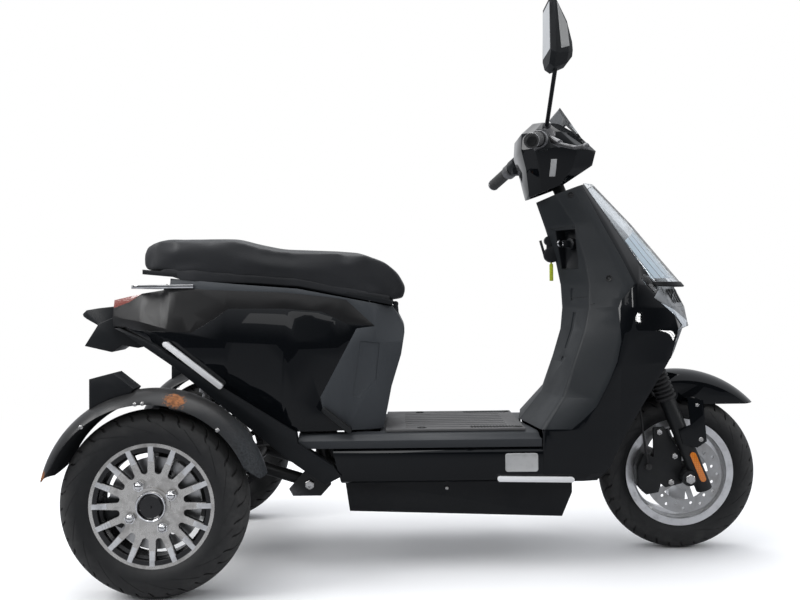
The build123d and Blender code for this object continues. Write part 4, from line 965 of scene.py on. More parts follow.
def makeCushion(setup):
    source = nodes["seat_cushion"]
    piece = bpy.data.objects.new("cushion", source.data.copy())
    scene.collection.objects.link(piece)
    edit(piece)
    bpy.ops.mesh.select_all(action="SELECT")
    bpy.ops.mesh.customdata_custom_splitnormals_clear()
    bpy.ops.mesh.remove_doubles(threshold=0.00002)
    done()
    applyModifier(piece, "REMESH", mode="VOXEL", voxel_size=setup["voxel"])
    underside = [abs(vertex.normal.z) > 0.8 and vertex.normal.z < 0 for vertex in piece.data.vertices]
    flat = [vertex.co.copy() for vertex in piece.data.vertices]
    applyModifier(piece, "DISPLACE", strength=-setup["inset"], mid_level=0)
    applyModifier(piece, "SMOOTH", factor=0.5, iterations=setup["rounding"])
    for vertex, low, before in zip(piece.data.vertices, underside, flat):
        if low:  # the foam stays down on its pan
            vertex.co.z = before.z
    group = piece.vertex_groups.new(name="base")
    base = [v.index for v in piece.data.vertices if v.normal.z < -0.75]
    group.add(base, 1.0, "REPLACE")
    start = [vertex.co.copy() for vertex in piece.data.vertices]
    pick(piece)
    modifier = piece.modifiers.new("cloth", "CLOTH")
    cloth = modifier.settings
    cloth.vertex_group_mass = "base"
    cloth.use_pressure = True
    cloth.uniform_pressure_force = setup["pressure"]
    cloth.tension_stiffness = setup["stretch"]
    cloth.compression_stiffness = setup["stretch"]
    cloth.bending_stiffness = setup["bending"]
    cloth.effector_weights.gravity = 0
    for step in range(1, setup["frames"] + 1):
        scene.frame_set(step)
    bpy.ops.object.modifier_apply(modifier=modifier.name)
    scene.frame_set(1)
    for vertex, before in zip(piece.data.vertices, start):
        moved = vertex.co - before
        if moved.length > setup["most"]:
            vertex.co = before + moved * (setup["most"] / moved.length)
    applyModifier(piece, "SMOOTH", factor=0.5, iterations=4)
    applyModifier(piece, "SUBSURF", levels=1, render_levels=1)
    smooth(piece, 60)
    settle(piece, "seat_cover", "seat", leather)
    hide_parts("seat_cushion")
    return piece


cushion = makeCushion(cushionSetup)
print("cushion made:", len(cushion.data.vertices), "points")


def gridPiece(columns, rows, place, thickness=0, closed=False):  # grid primitive laid on a shape
    deselectAll()
    bpy.ops.mesh.primitive_grid_add(x_subdivisions=columns, y_subdivisions=rows, size=1)
    piece = bpy.context.object
    for vertex in piece.data.vertices:
        vertex.co = place(vertex.co.x + 0.5, vertex.co.y + 0.5)
    edit(piece)
    bpy.ops.mesh.select_all(action="SELECT")
    if closed:
        bpy.ops.mesh.remove_doubles(threshold=0.00002)
    bpy.ops.mesh.normals_make_consistent(inside=False)
    done()
    if thickness:
        applyModifier(piece, "SOLIDIFY", thickness=abs(thickness), offset=1 if thickness > 0 else -1)
    return piece


skins = {}


def skinOf(names):  # the CAD surfaces that a thin piece lies on
    if names not in skins:
        points, faces = [], []
        for name in names:
            mesh = nodes[name].data
            base = len(points)
            points += [vertex.co.copy() for vertex in mesh.vertices]
            faces += [[base + index for index in face.vertices] for face in mesh.polygons]
        skins[names] = BVHTree.FromPolygons(points, faces)
    return skins[names]


def layOn(names, origin, way, lift):  # where a ray from origin first meets the skin, lifted off it
    hit, normal, _, _ = skinOf(names).ray_cast(Vector(origin), Vector(way))
    if hit is None:
        hit, normal, _, _ = skinOf(names).find_nearest(Vector(origin) + Vector(way) * 0.3)
    if normal.dot(Vector(way)) > 0:
        normal = -normal
    return hit + normal * lift


def sidePatch(name, names, corners, side, material, body, columns=12, rows=4, lift=0.0008, thickness=0.0012):
    # corners are (x, z): low rear, low front, high front, high rear
    lowRear, lowFront, highFront, highRear = [Vector(corner) for corner in corners]

    def place(along, up):
        low = lowRear * (1 - along) + lowFront * along
        high = highRear * (1 - along) + highFront * along
        spot = low * (1 - up) + high * up
        return layOn(names, (spot.x, side * 0.5, spot.y), (0, -side, 0), lift)

    piece = gridPiece(columns, rows, place)
    edit(piece)
    bpy.ops.mesh.select_all(action="SELECT")
    outward = sum(face.normal.y * side for face in piece.data.polygons)
    if outward < 0:
        bpy.ops.mesh.flip_normals()
    done()
    applyModifier(piece, "SOLIDIFY", thickness=thickness, offset=-1)
    applyModifier(piece, "BEVEL", width=thickness * 0.3, segments=2, limit_method="ANGLE")
    smooth(piece, 35)
    return settle(piece, name, body, material)


# Seat skirt: the cover's turned edge, which hides the pan

skirtSetup = {
    "plan": [(-0.072, 0.105), (-0.133, 0.123), (-0.300, 0.1315), (-0.560, 0.1315), (-0.642, 0.120),
             (-0.680, 0.090), (-0.687, 0.040)],  # open at the front, so that the lid can tip
    "deeper": (-0.625, -0.400, 0.0075),  # from, to and how much further down the hem hangs over the cowl
    "line": [(-0.026, 0.659), (-0.066, 0.666), (-0.300, 0.7135), (-0.450, 0.7265),
             (-0.622, 0.7435), (-0.710, 0.7512)],  # height of the pan's lower edge along x
    "drop": 0.0105,
    "rise": 0.010,
    "roll": 0.0008,
    "wall": 0.004,
    "fades": (0.03, 0.12),  # lengths over which the deeper part comes in and goes out
    "middle": 0.36,  # how far behind the origin the seat's middle lies
    "widen": 2.2,  # how much more the roll turns out to the sides than to the ends
}


def alongLine(points, share):  # point at a share of a run's length
    lengths = [math.dist(first, second) for first, second in zip(points, points[1:])]
    left = share * sum(lengths)
    for first, second, length in zip(points, points[1:], lengths):
        if left <= length or second == points[-1]:
            part = min(left / length, 1)
            return tuple(a + (b - a) * part for a, b in zip(first, second))
        left -= length


def heightAt(line, x):
    for (farX, farZ), (nearX, nearZ) in zip(line, line[1:]):
        if nearX <= x <= farX:
            return farZ + (nearZ - farZ) * (farX - x) / (farX - nearX)
    return line[-1][1] if x < line[-1][0] else line[0][1]


def makeSeatSkirt(setup):
    half = setup["plan"]
    ring = half + [(x, -y) for x, y in half[::-1]]

    def place(around, up):
        x, y = alongLine(ring, around)
        low = heightAt(setup["line"], x)
        bulge = setup["roll"] * math.sin(math.pi * up)
        outward = Vector((x + setup["middle"], y * setup["widen"])).normalized() * bulge
        start, end, extra = setup["deeper"]
        fadeIn, fadeOut = setup["fades"]
        share = min(max((x - start) / fadeIn, 0), 1) * min(max((end - x) / fadeOut, 0), 1)
        drop = setup["drop"] + extra * share
        return (x + outward.x, y + outward.y, low - drop + (drop + setup["rise"]) * up)

    piece = gridPiece(220, 6, place, -setup["wall"])
    applyModifier(piece, "SMOOTH", factor=0.5, iterations=3)
    smooth(piece, 50)
    return settle(piece, "seat_skirt", "seat", leather)


makeSeatSkirt(skirtSetup)
print("seat skirt made")


# Small fasteners and blank plates

fastenerSetup = {
    "bolts": [  # place, way it points, radius, height, body
        ((0.615, -0.078, 0.319), (0, -1, 0), 0.0085, 0.006, "steering"),
        ((0.654, -0.078, 0.257), (0, -1, 0), 0.0085, 0.006, "steering"),
        ((0.644, -0.078, 0.190), (0, -1, 0), 0.0085, 0.006, "steering"),
        ((0.683, -0.1045, 0.204), (0, -1, 0), 0.0135, 0.010, "steering"),
        ((0.683, 0.1045, 0.204), (0, 1, 0), 0.0135, 0.010, "steering"),
        ((0.709, -0.1093, 0.305), (0, -1, 0), 0.0065, 0.004, "steering"),
        ((0.700, -0.1093, 0.392), (0, -1, 0), 0.005, 0.003, "steering"),
        ((0.709, 0.1093, 0.305), (0, 1, 0), 0.0065, 0.004, "steering"),
        ((0.067, -0.100, 0.187), (0, -1, 0), 0.005, 0.004, "chassis"),
        ((-0.278, -0.126, 0.206), (0, -1, 0), 0.013, 0.008, "chassis"),
        ((-0.278, 0.126, 0.206), (0, 1, 0), 0.013, 0.008, "chassis"),
        ((-0.242, -0.126, 0.250), (0, -1, 0), 0.006, 0.005, "chassis"),
    ],
    "fenderTurns": (48, 92, 96, 128),  # degrees about the rear axle
    # reach from the axle, half of the spread, radius and height
    "fenderScrew": (0.2335, 0.0597, 0.0042, 0.0028),
}


boltShape = {  # shares of a bolt's radius or height
    "washerWide": 1.22,
    "washerTall": 0.3,
    "lift": 0.6,
    "rim": 0.22,
    "dome": 0.25,
    "dimple": (0.3, 0.6),
    "headBevel": 0.09,
    "washerBevel": 0.08,
}


def makeBolt(name, place, way, radius, height, body, material=None):
    shape = boltShape
    deselectAll()
    bpy.ops.mesh.primitive_cylinder_add(vertices=24, radius=radius * shape["washerWide"],
                                        depth=height * shape["washerTall"])
    washer = bpy.context.object
    deselectAll()
    bpy.ops.mesh.primitive_cylinder_add(vertices=6, radius=radius, depth=height,
                                        location=(0, 0, height * shape["lift"]))
    head = bpy.context.object
    edit(head)
    selectFaces(head, lambda centre, normal: normal.z > 0.9)
    wide, deep = shape["dimple"]
    bpy.ops.mesh.inset(thickness=radius * shape["rim"], depth=height * shape["dome"])
    bpy.ops.mesh.inset(thickness=radius * wide, depth=-height * shape["dome"] * deep)
    done()
    applyModifier(head, "BEVEL", width=radius * shape["headBevel"], segments=2, limit_method="ANGLE")
    applyModifier(washer, "BEVEL", width=height * shape["washerBevel"], segments=2, limit_method="ANGLE")
    pick(head)
    washer.select_set(True)
    bpy.ops.object.join()
    smooth(head, 35)
    head.rotation_mode = "QUATERNION"
    head.rotation_quaternion = Vector(way).to_track_quat("Z", "Y")
    head.location = place
    return settle(head, name, body, material or steel)


for count, (place, way, radius, height, body) in enumerate(fastenerSetup["bolts"]):
    makeBolt("bolt_%02d" % count, place, way, radius, height, body)
reach, half, radius, height = fastenerSetup["fenderScrew"]
for side, centre in zip((1, -1), rearAxle):
    for turn in fastenerSetup["fenderTurns"]:
        angle = math.radians(turn)
        place = (centre[0] + reach * math.cos(angle), centre[1] + side * half,
                 centre[2] + reach * math.sin(angle))
        name = "fender_screw_%s_%d" % ("left" if side > 0 else "right", turn)
        makeBolt(name, place, (0, side, 0), radius, height, "chassis")
print("fasteners made")

wheelTrim = {
    "nutCircle": 0.053,
    "nutRadius": 0.0128,
    "nutFace": 0.0285,  # height above the wheel's middle where a nut starts
    "nutHeight": 0.0115,
    "nutTurn": -29,
    "nutCount": 4,
    "spokes": 16,
    # inner radius, outer radius and top of each step
    "stepRows": ((0.1005, 0.1065, 0.0316), (0.1065, 0.1125, 0.0323), (0.1125, 0.1185, 0.0331),
                 (0.1185, 0.1345, 0.0338)),
    "stepHalf": 0.0059,
    "faceUnder": 0.0300,
    "ringRadii": (0.0298, 0.0350),
    "ringRise": (0.0325, 0.0405),
    "dome": (0.78, 0.82, 0.95, 0.6),  # radius, height, flattening and foot, as shares of the nut's
}


def copyTurned(piece, centre, degrees, name, body):  # a copy with its own mesh, turned about a wheel's axle
    twin = piece.copy()
    twin.data = piece.data.copy()
    scene.collection.objects.link(twin)
    turn = Matrix.Rotation(math.radians(degrees), 4, "Y")
    twin.data.transform(Matrix.Translation(centre) @ turn @ Matrix.Translation(-Vector(centre)))
    twin.name = name
    twin.data.name = name
    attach(twin, body)
    return twin


def makeAcornNut(centre, side, setup):
    bulge, lift, flatten, foot = setup["dome"]
    face = centre[1] + side * setup["nutFace"]
    deselectAll()
    bpy.ops.mesh.primitive_cylinder_add(vertices=6, radius=setup["nutRadius"], depth=setup["nutHeight"])
    nut = bpy.context.object
    nut.location = (0, 0, setup["nutHeight"] / 2)
    bpy.ops.object.transform_apply(location=True)
    applyModifier(nut, "BEVEL", width=0.0007, segments=2, limit_method="ANGLE")
    deselectAll()
    bpy.ops.mesh.primitive_uv_sphere_add(segments=24, ring_count=16, radius=setup["nutRadius"] * bulge,
                                         location=(0, 0, setup["nutHeight"] * lift))
    dome = bpy.context.object
    dome.scale = (1, 1, flatten)
    bpy.ops.object.transform_apply(scale=True)
    edit(dome)
    bpy.ops.mesh.select_all(action="SELECT")
    bpy.ops.mesh.bisect(plane_co=(0, 0, setup["nutHeight"] * foot), plane_no=(0, 0, 1),
                        clear_inner=True, use_fill=True)
    done()
    pick(nut)
    dome.select_set(True)
    bpy.ops.object.join()
    smooth(nut, 35)
    nut.rotation_mode = "QUATERNION"
    nut.rotation_quaternion = Vector((0, side, 0)).to_track_quat("Z", "Y")
    nut.location = (centre[0] + setup["nutCircle"], face, centre[2])
    return nut


def makeSpokeStep(centre, side, setup):  # stepped bright end of one spoke
    parts = []
    for low, high, top in setup["stepRows"]:
        deselectAll()
        bottom = setup["faceUnder"]
        middle = (centre[0] + (low + high) / 2, centre[1] + side * (bottom + top) / 2, centre[2])
        bpy.ops.mesh.primitive_cube_add(size=1, location=middle)
        block = bpy.context.object
        block.scale = (high - low, top - bottom, setup["stepHalf"] * 2)
        bpy.ops.object.transform_apply(location=True, scale=True)
        applyModifier(block, "BEVEL", width=0.0004, segments=2, limit_method="ANGLE")
        parts.append(block)
    pick(parts[0])
    for block in parts:
        block.select_set(True)
    bpy.ops.object.join()
    return parts[0]


def makeCapRing(centre, side, setup):  # bright raised ring round the blank cap
    inner, outer = setup["ringRadii"]
    low, high = setup["ringRise"]
    section = [(inner, low), (outer, low), (outer, high - 0.003), (outer - 0.002, high),
               (inner + 0.001, high), (inner, high - 0.001)]

    def place(around, over):
        turn = 2 * math.pi * around
        reach, rise = section[int(round(over * len(section))) % len(section)]
        return (centre[0] + reach * math.cos(turn), centre[1] + side * rise,
                centre[2] + reach * math.sin(turn))

    piece = gridPiece(64, len(section), place, closed=True)
    smooth(piece, 40)
    return piece


for side, sideName, centre in ((1, "left", rearAxle[0]), (-1, "right", rearAxle[1])):
    body = "rear_wheel_" + sideName
    nut = makeAcornNut(centre, side, wheelTrim)
    settle(nut, "acorn_nut_%s_0" % sideName, body, chrome)
    first = Matrix.Rotation(math.radians(wheelTrim["nutTurn"]), 4, "Y")
    nut.data.transform(Matrix.Translation(centre) @ first @ Matrix.Translation(-Vector(centre)))
    for count in range(1, wheelTrim["nutCount"]):
        name = "acorn_nut_%s_%d" % (sideName, count)
        copyTurned(nut, centre, 360 / wheelTrim["nutCount"] * count, name, body)
    step = makeSpokeStep(centre, side, wheelTrim)
    settle(step, "spoke_ends_" + sideName, body, alloyFace)
    ends = [step]
    for count in range(1, wheelTrim["spokes"]):
        ends.append(copyTurned(step, centre, 360 / wheelTrim["spokes"] * count, "spoke_end", body))
    pick(step)
    for piece in ends:
        piece.select_set(True)
    bpy.ops.object.join()
    settle(makeCapRing(centre, side, wheelTrim), "cap_ring_" + sideName, body, chrome)
print("wheel trim made")

plateSetup = {
    "centre": (0.247, 0.1698, 0.2655),
    "size": (0.080, 0.0035, 0.045),
    "corner": 0.006,
    "frame": 0.0035,
    "recess": (0.0008, -0.0007),  # step and depth of the field inside the frame
}


def makePlate(side, setup):
    x, y, z = setup["centre"]
    deselectAll()
    bpy.ops.mesh.primitive_cube_add(size=1, location=(x, side * y, z))
    piece = bpy.context.object
    piece.scale = setup["size"]
    bpy.ops.object.transform_apply(location=False, rotation=False, scale=True)
    edit(piece)
    mesh = bmesh.from_edit_mesh(piece.data)
    for line in mesh.edges:
        line.select = abs((line.verts[0].co - line.verts[1].co).normalized().y) > 0.9
    bpy.ops.mesh.bevel(offset=setup["corner"], segments=5)
    selectFaces(piece, lambda centre, normal: normal.y * side > 0.9)
    bpy.ops.mesh.inset(thickness=setup["frame"], depth=0)
    step, deep = setup["recess"]
    bpy.ops.mesh.inset(thickness=step, depth=deep)
    done()
    applyModifier(piece, "BEVEL", width=0.0005, segments=2, limit_method="ANGLE")
    smooth(piece, 30)
    sideName = "left" if side > 0 else "right"
    return settle(piece, "blank_plate_" + sideName, "chassis", blankPlate)


makePlate(-1, plateSetup)
makePlate(1, plateSetup)
print("plates made")

# Nose: facets, one of them a painted highlight, louvres whose slots are darkened with painted shade, a
# painted sky reflection on the visor, and the lip under the visor

noseSetup = {
    "skin": ("front_fairing", "nose_panel", "headlight", "turn_lamps"),
    "patches": (  # name, columns, rows, lift, finish and corners
        ("nose_band", 12, 4, 0.001, nosePaint,
         ((0.586, 0.664), (0.716, 0.586), (0.722, 0.602), (0.604, 0.684))),
        # this patch is a painted highlight on the chamfer that faces up
        ("nose_painted_highlight", 16, 6, 0.0018, paintedFacetHighlight,
         ((0.690, 0.580), (0.694, 0.582), (0.710, 0.600), (0.606, 0.650))),
        ("nose_edge", 3, 12, 0.0008, nosePaint,
         ((0.662, 0.506), (0.670, 0.506), (0.720, 0.588), (0.708, 0.588))),
        ("louvre_plate", 14, 8, 0.0012, nosePaint,
         ((0.632, 0.640), (0.694, 0.640), (0.684, 0.690), (0.618, 0.690))),
    ),
    # the louvre entries place dark strips: painted shade in the slots
    "louvreTop": 0.684,
    "louvreLow": 0.650,
    "louvreStart": 0.634,
    "louvrePitch": 0.0125,
    "louvreWidth": 0.0075,
    "louvreLean": 0.016,
    "louvreCount": 4,
    "louvreLift": 0.0026,
}


def makeNose(setup):
    skin = setup["skin"]
    wide, lean = setup["louvreWidth"], setup["louvreLean"]
    low, top = setup["louvreLow"], setup["louvreTop"]
    for side, sideName in ((-1, "right"), (1, "left")):
        for name, columns, rows, lift, material, corners in setup["patches"]:
            sidePatch(name + "_" + sideName, skin, corners, side, material, "chassis", columns, rows, lift)
        # dark strips over the louvre slots: painted shade in the openings
        for count in range(setup["louvreCount"]):
            x = setup["louvreStart"] + setup["louvrePitch"] * count
            corners = ((x + lean, low), (x + lean + wide, low), (x + wide, top), (x, top))
            # dark strip over one louvre slot, painted shade
            sidePatch("louvre_%s_%d" % (sideName, count), skin, corners, side, darkTrim, "chassis", 3, 5,
                      setup["louvreLift"])


visorRows = ((0.962, 0.428, 0.056, 0.470), (0.855, 0.496, 0.087, 0.568), (0.761, 0.555, 0.104, 0.645),
             (0.692, 0.599, 0.110, 0.703))  # height, edge ahead, edge half width, middle ahead
# where the painted sky reflection lies on the visor's sides
visorReflectionSetup = {
    "inset": 0.005,
    "from": 34,  # degrees round the visor from its middle
    "to": 84,
    "low": 0.713,
    "highRear": 0.806,
    "highFront": 0.842,
    "wall": 0.0008,
}
lipSetup = {"out": 0.0022, "low": 0.6935, "high": 0.705, "to": 88, "wall": 0.0045}


def visorPoint(height, degrees, inset):  # on the visor's arc, degrees from the middle
    rows = visorRows
    for (highZ, *high), (lowZ, *low) in zip(rows, rows[1:]):
        if height >= lowZ or lowZ == rows[-1][0]:
            part = (height - lowZ) / (highZ - lowZ)
            edgeX, edgeY, middle = [b + (a - b) * part for a, b in zip(high, low)]
            break
    rise = middle - edgeX
    radius = (edgeY * edgeY + rise * rise) / (2 * rise)
    turn = math.radians(degrees)
    return (middle - radius + (radius - inset) * math.cos(turn), (radius - inset) * math.sin(turn), height)


def makeVisorTrim():
    for side, sideName in ((-1, "right"), (1, "left")):
        setup = visorReflectionSetup

        def place(along, up):
            degrees = side * (setup["to"] + (setup["from"] - setup["to"]) * along)
            high = setup["highRear"] + (setup["highFront"] - setup["highRear"]) * along
            return visorPoint(setup["low"] + (high - setup["low"]) * up, degrees, setup["inset"])

        # pale sheet just inside the visor: a painted reflection of the sky, not a real insert
        piece = gridPiece(30, 20, place, setup["wall"])
        smooth(piece, 60)
        settle(piece, "visor_insert_" + sideName, "chassis", paintedVisorReflection)

    def lip(along, up):
        degrees = lipSetup["to"] * (2 * along - 1)
        height = lipSetup["low"] + (lipSetup["high"] - lipSetup["low"]) * up
        return visorPoint(height, degrees, -lipSetup["out"])

    piece = gridPiece(60, 4, lip, -lipSetup["wall"])
    applyModifier(piece, "BEVEL", width=0.001, segments=2, limit_method="ANGLE")
    smooth(piece, 50)
    settle(piece, "visor_lip", "chassis", darkTrim)


makeNose(noseSetup)
makeVisorTrim()

windowSetup = {
    "spot": (0.535, 0.612),  # where on the fairing it shows
    "away": 1.1,
    "pane": (0.030, 0.038),
    "pitch": (0.036, 0.044),
    "energy": 0.16,
}


def addWindow(setup):  # a small six-pane window, mirrored in the glossy fairing
    x, z = setup["spot"]
    spot = layOn(("front_fairing",), (x, -0.5, z), (0, 1, 0), 0)
    _, normal, _, _ = skinOf(("front_fairing",)).find_nearest(spot)
    normal = normal if normal.y < 0 else -normal
    view = (scene.camera.matrix_world.translation - spot).normalized()
    way = (2 * normal.dot(view) * normal - view).normalized()
    centre = spot + way * setup["away"]
    right = way.cross(Vector((0, 0, 1))).normalized()
    up = right.cross(way)
    for column in range(3):
        for row in range(2):
            shift = right * setup["pitch"][0] * (column - 1) + up * setup["pitch"][1] * (row - 0.5)
            addLamp("window_%d_%d" % (column, row), setup["energy"], setup["pane"], centre + shift, spot)


addWindow(windowSetup)
print("nose and visor trimmed")


# Handlebar, mirror, lock and hook details

barSetup = {
    "gripEnd": (0.2478, 0.3455, 1.0158),
    "gripWay": (-0.3, 0.93, -0.21),
    "ring": (0.0158, 0.0016, 0.003),  # radius, half thickness and how far in from the end
    "cap": ((0.0001, -0.004), (0.0125, -0.004), (0.0125, 0.0005), (0.0095, 0.0018), (0.004, 0.0006),
            (0.0001, 0.0006)),
    "sleeve": (0.0178, 0.0205, 0.030, 0.108),  # inner and outer radius, length, how far in
    "strip": ((0.340, 0.978), (0.355, 0.978), (0.357, 1.020), (0.342, 1.020)),
}


# spins a profile of (radius, height) points about its own line
def lathe(name, profile, place, way, body, material, steps=48):
    deselectAll()
    bpy.ops.mesh.primitive_circle_add(vertices=len(profile), radius=0.01)
    piece = bpy.context.object
    for vertex, (radius, height) in zip(piece.data.vertices, profile):
        vertex.co = (radius, 0, height)
    edit(piece)
    bpy.ops.mesh.select_all(action="SELECT")
    bpy.ops.mesh.spin(steps=steps, angle=2 * math.pi, center=(0, 0, 0), axis=(0, 0, 1))
    bpy.ops.mesh.select_all(action="SELECT")
    bpy.ops.mesh.remove_doubles(threshold=0.00002)
    bpy.ops.mesh.normals_make_consistent(inside=False)
    done()
    smooth(piece, 35)
    piece.rotation_mode = "QUATERNION"
    piece.rotation_quaternion = Vector(way).to_track_quat("Z", "Y")
    piece.location = place
    return settle(piece, name, body, material)


def makeGripTrim(side, sideName, setup):
    x, y, z = setup["gripEnd"]
    ax, ay, az = setup["gripWay"]
    place, way = Vector((x, side * y, z)), Vector((ax, side * ay, az)).normalized()
    major, minor, inward = setup["ring"]
    turns = [2 * math.pi * step / 12 for step in range(12)]
    ring = [(major + minor * math.cos(turn), minor * 1.3 * math.sin(turn)) for turn in turns]
    lathe("grip_ring_" + sideName, ring, place - way * inward, way, "steering", chrome)
    lathe("grip_cap_" + sideName, setup["cap"], place, way, "steering", darkTrim)
    inner, outer, length, inward = setup["sleeve"]
    start = place - way * inward
    sleeve = [(inner, 0), (outer, 0), (outer + 0.001, -0.003), (outer + 0.001, -length + 0.004),
              (outer - 0.001, -length), (inner, -length)]
    lathe("grip_sleeve_" + sideName, sleeve, start, way, "steering", leverPaint)


keySetup = {
    "place": (0.3705, -0.0632, 0.806),
    "turn": 33,
    "bow": (0.0085, 0.0024),
    "bowScale": (1.15, 0.9, 0.6),
    "blade": (0.016, 0.0022, 0.007),
    "bladeShift": (0.0125, 0.008),
}


def makeKey(setup):
    deselectAll()
    major, minor = setup["bow"]
    bpy.ops.mesh.primitive_torus_add(major_radius=major, minor_radius=minor, major_segments=32,
                                     minor_segments=10)
    bow = bpy.context.object
    bow.scale = setup["bowScale"]
    bow.rotation_euler = (math.radians(90), 0, math.radians(setup["turn"]))
    bow.location = setup["place"]
    bpy.ops.object.transform_apply(location=True, rotation=True, scale=True)
    deselectAll()
    bpy.ops.mesh.primitive_cube_add(size=1)
    blade = bpy.context.object
    blade.scale = setup["blade"]
    blade.rotation_euler = (0, 0, math.radians(setup["turn"]))
    x, y, z = setup["place"]
    ahead, out = setup["bladeShift"]
    blade.location = (x + ahead, y + out, z)
    bpy.ops.object.transform_apply(location=True, rotation=True, scale=True)
    applyModifier(blade, "BEVEL", width=0.0006, segments=2, limit_method="ANGLE")
    pick(bow)
    blade.select_set(True)
    bpy.ops.object.join()
    smooth(bow, 35)
    settle(bow, "key", "chassis", chrome)


tagSetup = {
    "low": (0.352, 0.711),
    "high": (0.362, 0.754),
    "side": -0.003,
    "wall": 0.0018,
    "neck": (0.004, 0.45, 0.006),  # rise, narrowing and rise of the two upper steps
}


def makeTag(setup):
    (lowX, lowZ), (highX, highZ) = setup["low"], setup["high"]
    deselectAll()
    bpy.ops.mesh.primitive_cube_add(size=1, location=((lowX + highX) / 2, setup["side"], (lowZ + highZ) / 2))
    tag = bpy.context.object
    tag.scale = (highX - lowX, setup["wall"], highZ - lowZ)
    bpy.ops.object.transform_apply(location=True, scale=True)
    edit(tag)
    selectFaces(tag, lambda centre, normal: normal.z > 0.9)
    first, narrow, second = setup["neck"]
    bpy.ops.mesh.extrude_region_move(TRANSFORM_OT_translate={"value": (0, 0, first)})
    bpy.ops.transform.resize(value=(narrow, 1, 1))
    bpy.ops.mesh.extrude_region_move(TRANSFORM_OT_translate={"value": (0, 0, second)})
    done()
    applyModifier(tag, "BEVEL", width=0.0005, segments=2, limit_method="ANGLE")
    smooth(tag, 30)
    settle(tag, "hook_tag", "chassis", lime)


for side, sideName in ((-1, "right"), (1, "left")):
    makeGripTrim(side, sideName, barSetup)
    sidePatch("pod_strip_" + sideName, ("handlebar_pod",), barSetup["strip"], side, blankPlate, "steering",
              4, 8, 0.0012)
makeKey(keySetup)
makeTag(tagSetup)

mirrorSetup = {
    "face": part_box("mirror_right")[0].x - 0.0004,  # just proud of the housing
    "middle": -0.292,
    "half": (0.042, 0.004),  # half width at the foot, and how much less it is at the top
    "low": 1.222,
    "tall": 0.106,
    "wall": 0.0012,
    "facet": ((0.318, 1.222), (0.340, 1.232), (0.336, 1.282), (0.312, 1.330)),
}


def makeMirrorGlass(setup):
    def place(across, up):
        foot, taper = setup["half"]
        half = foot - taper * up
        y = setup["middle"] + (2 * across - 1) * half
        return (setup["face"], y, setup["low"] + setup["tall"] * up)

    piece = gridPiece(16, 16, place)
    applyModifier(piece, "SOLIDIFY", thickness=setup["wall"], offset=0)
    applyModifier(piece, "BEVEL", width=0.0004, segments=2, limit_method="ANGLE")
    settle(piece, "mirror_glass", "steering", mirrorGlass)


makeMirrorGlass(mirrorSetup)
sidePatch("mirror_facet", ("mirror_right",), mirrorSetup["facet"], -1, mirrorGrey, "steering", 6, 10,
          0.0006, 0.001)
print("handlebar, mirror, key and tag made")


# Floor mat: dotted patches and screw cups

matSetup = {
    "top": 0.3452,
    "patches": ((0.130, 0.118), (0.130, -0.118)),
    "dots": (15, 3, 0.0080, 0.0075),  # columns, rows and their pitches
    "dotRadius": 0.0024,
    "dotTall": 0.0016,
    "dotInset": (0.35, 0.0005),
    "cups": ((0.005, 0.122), (0.246, 0.122), (0.005, -0.122), (0.246, -0.122)),
    "cup": ((0.0001, -0.001), (0.0055, -0.001), (0.0062, 0.0012), (0.0080, 0.0014), (0.0088, 0.0004),
            (0.0088, -0.003), (0.0001, -0.003)),
    "cupStretch": 1.35,
    "screw": (0.0032, 0.0016, 0.0012),  # radius, height and how deep it sits
}


def makeMatDots(setup):
    deselectAll()
    bpy.ops.mesh.primitive_cylinder_add(vertices=12, radius=setup["dotRadius"], depth=setup["dotTall"])
    dot = bpy.context.object
    edit(dot)
    selectFaces(dot, lambda centre, normal: normal.z > 0.9)
    share, rise = setup["dotInset"]
    bpy.ops.mesh.inset(thickness=setup["dotRadius"] * share, depth=rise)
    done()
    columns, rows, pitchX, pitchY = setup["dots"]
    copies = []
    for startX, middleY in setup["patches"]:
        for column in range(columns):
            for row in range(rows):
                twin = dot.copy()
                twin.data = dot.data.copy()
                scene.collection.objects.link(twin)
                shift = (pitchX / 2) * (row % 2)
                place = (startX + column * pitchX + shift, middleY + (row - 1) * pitchY, setup["top"])
                twin.data.transform(Matrix.Translation(place))
                copies.append(twin)
    bpy.data.objects.remove(dot)
    pick(copies[0])
    for twin in copies:
        twin.select_set(True)
    bpy.ops.object.join()
    smooth(copies[0], 35)
    settle(copies[0], "mat_dots", "chassis", darkTrim)


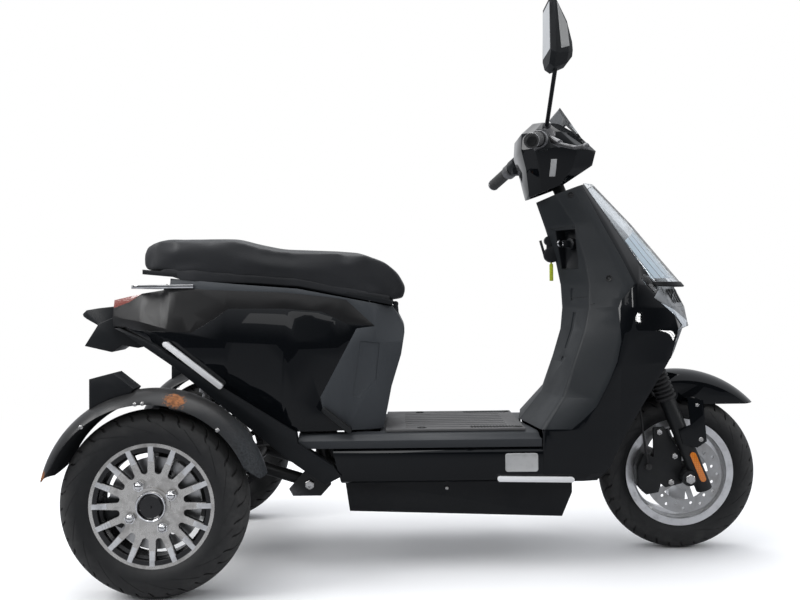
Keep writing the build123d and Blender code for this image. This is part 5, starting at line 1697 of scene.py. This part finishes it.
def makeScrewCups(setup):
    radius, height, sunk = setup["screw"]
    stretch = Matrix.Diagonal((setup["cupStretch"], 1, 1, 1))
    for count, (x, y) in enumerate(setup["cups"]):
        place = (x, y, setup["top"])
        piece = lathe("mat_cup_%d" % count, setup["cup"], place, (0, 0, 1), "chassis", darkTrim,
                      32)
        piece.data.transform(Matrix.Translation((x, y, 0)) @ stretch @ Matrix.Translation((-x, -y, 0)))
        makeBolt("mat_screw_%d" % count, (x, y, setup["top"] - sunk), (0, 0, 1), radius, height, "chassis")


makeMatDots(matSetup)
makeScrewCups(matSetup)

# Leg shield: screw recesses and seams

shieldSetup = {
    "recesses": ((0.394, 0.930), (0.473, 0.714)),
    "recessWidth": 0.010,
    "recess": ((0.5, 0.0002), (0.62, 0.0009), (0.78, 0.0009), (0.86, -0.002)),  # share of the width, height
    "screw": (0.0028, 0.0018),
    "seams": (((0.350, 0.846), (0.404, 0.850), (0.404, 0.8515), (0.350, 0.8475)),
              ((0.372, 0.662), (0.428, 0.668), (0.428, 0.6695), (0.372, 0.6635))),
}


def makeShieldTrim(setup):
    wide = setup["recessWidth"]
    for side, sideName in ((-1, "right"), (1, "left")):
        for count, (x, z) in enumerate(setup["recesses"]):
            spot = layOn(("leg_shield",), (x, side * 0.5, z), (0, -side, 0), 0)
            _, normal, _, _ = skinOf(("leg_shield",)).find_nearest(spot)
            way = normal if normal.y * side > 0 else -normal
            recess = [(0.0001, 0.0002), *[(wide * share, height) for share, height in setup["recess"]],
                    (0.0001, -0.002)]
            lathe("shield_recess_%s_%d" % (sideName, count), recess, spot, way, "chassis", darkTrim,
                  32)
            makeBolt("shield_screw_%s_%d" % (sideName, count), spot, way, *setup["screw"], "chassis",
                     castBlack)
        for count, corners in enumerate(setup["seams"]):
            sidePatch("shield_seam_%s_%d" % (sideName, count), ("leg_shield",), corners, side, darkTrim,
                      "chassis", 10, 1, 0.0003, 0.0008)


makeShieldTrim(shieldSetup)
print("mat and leg shield trimmed")
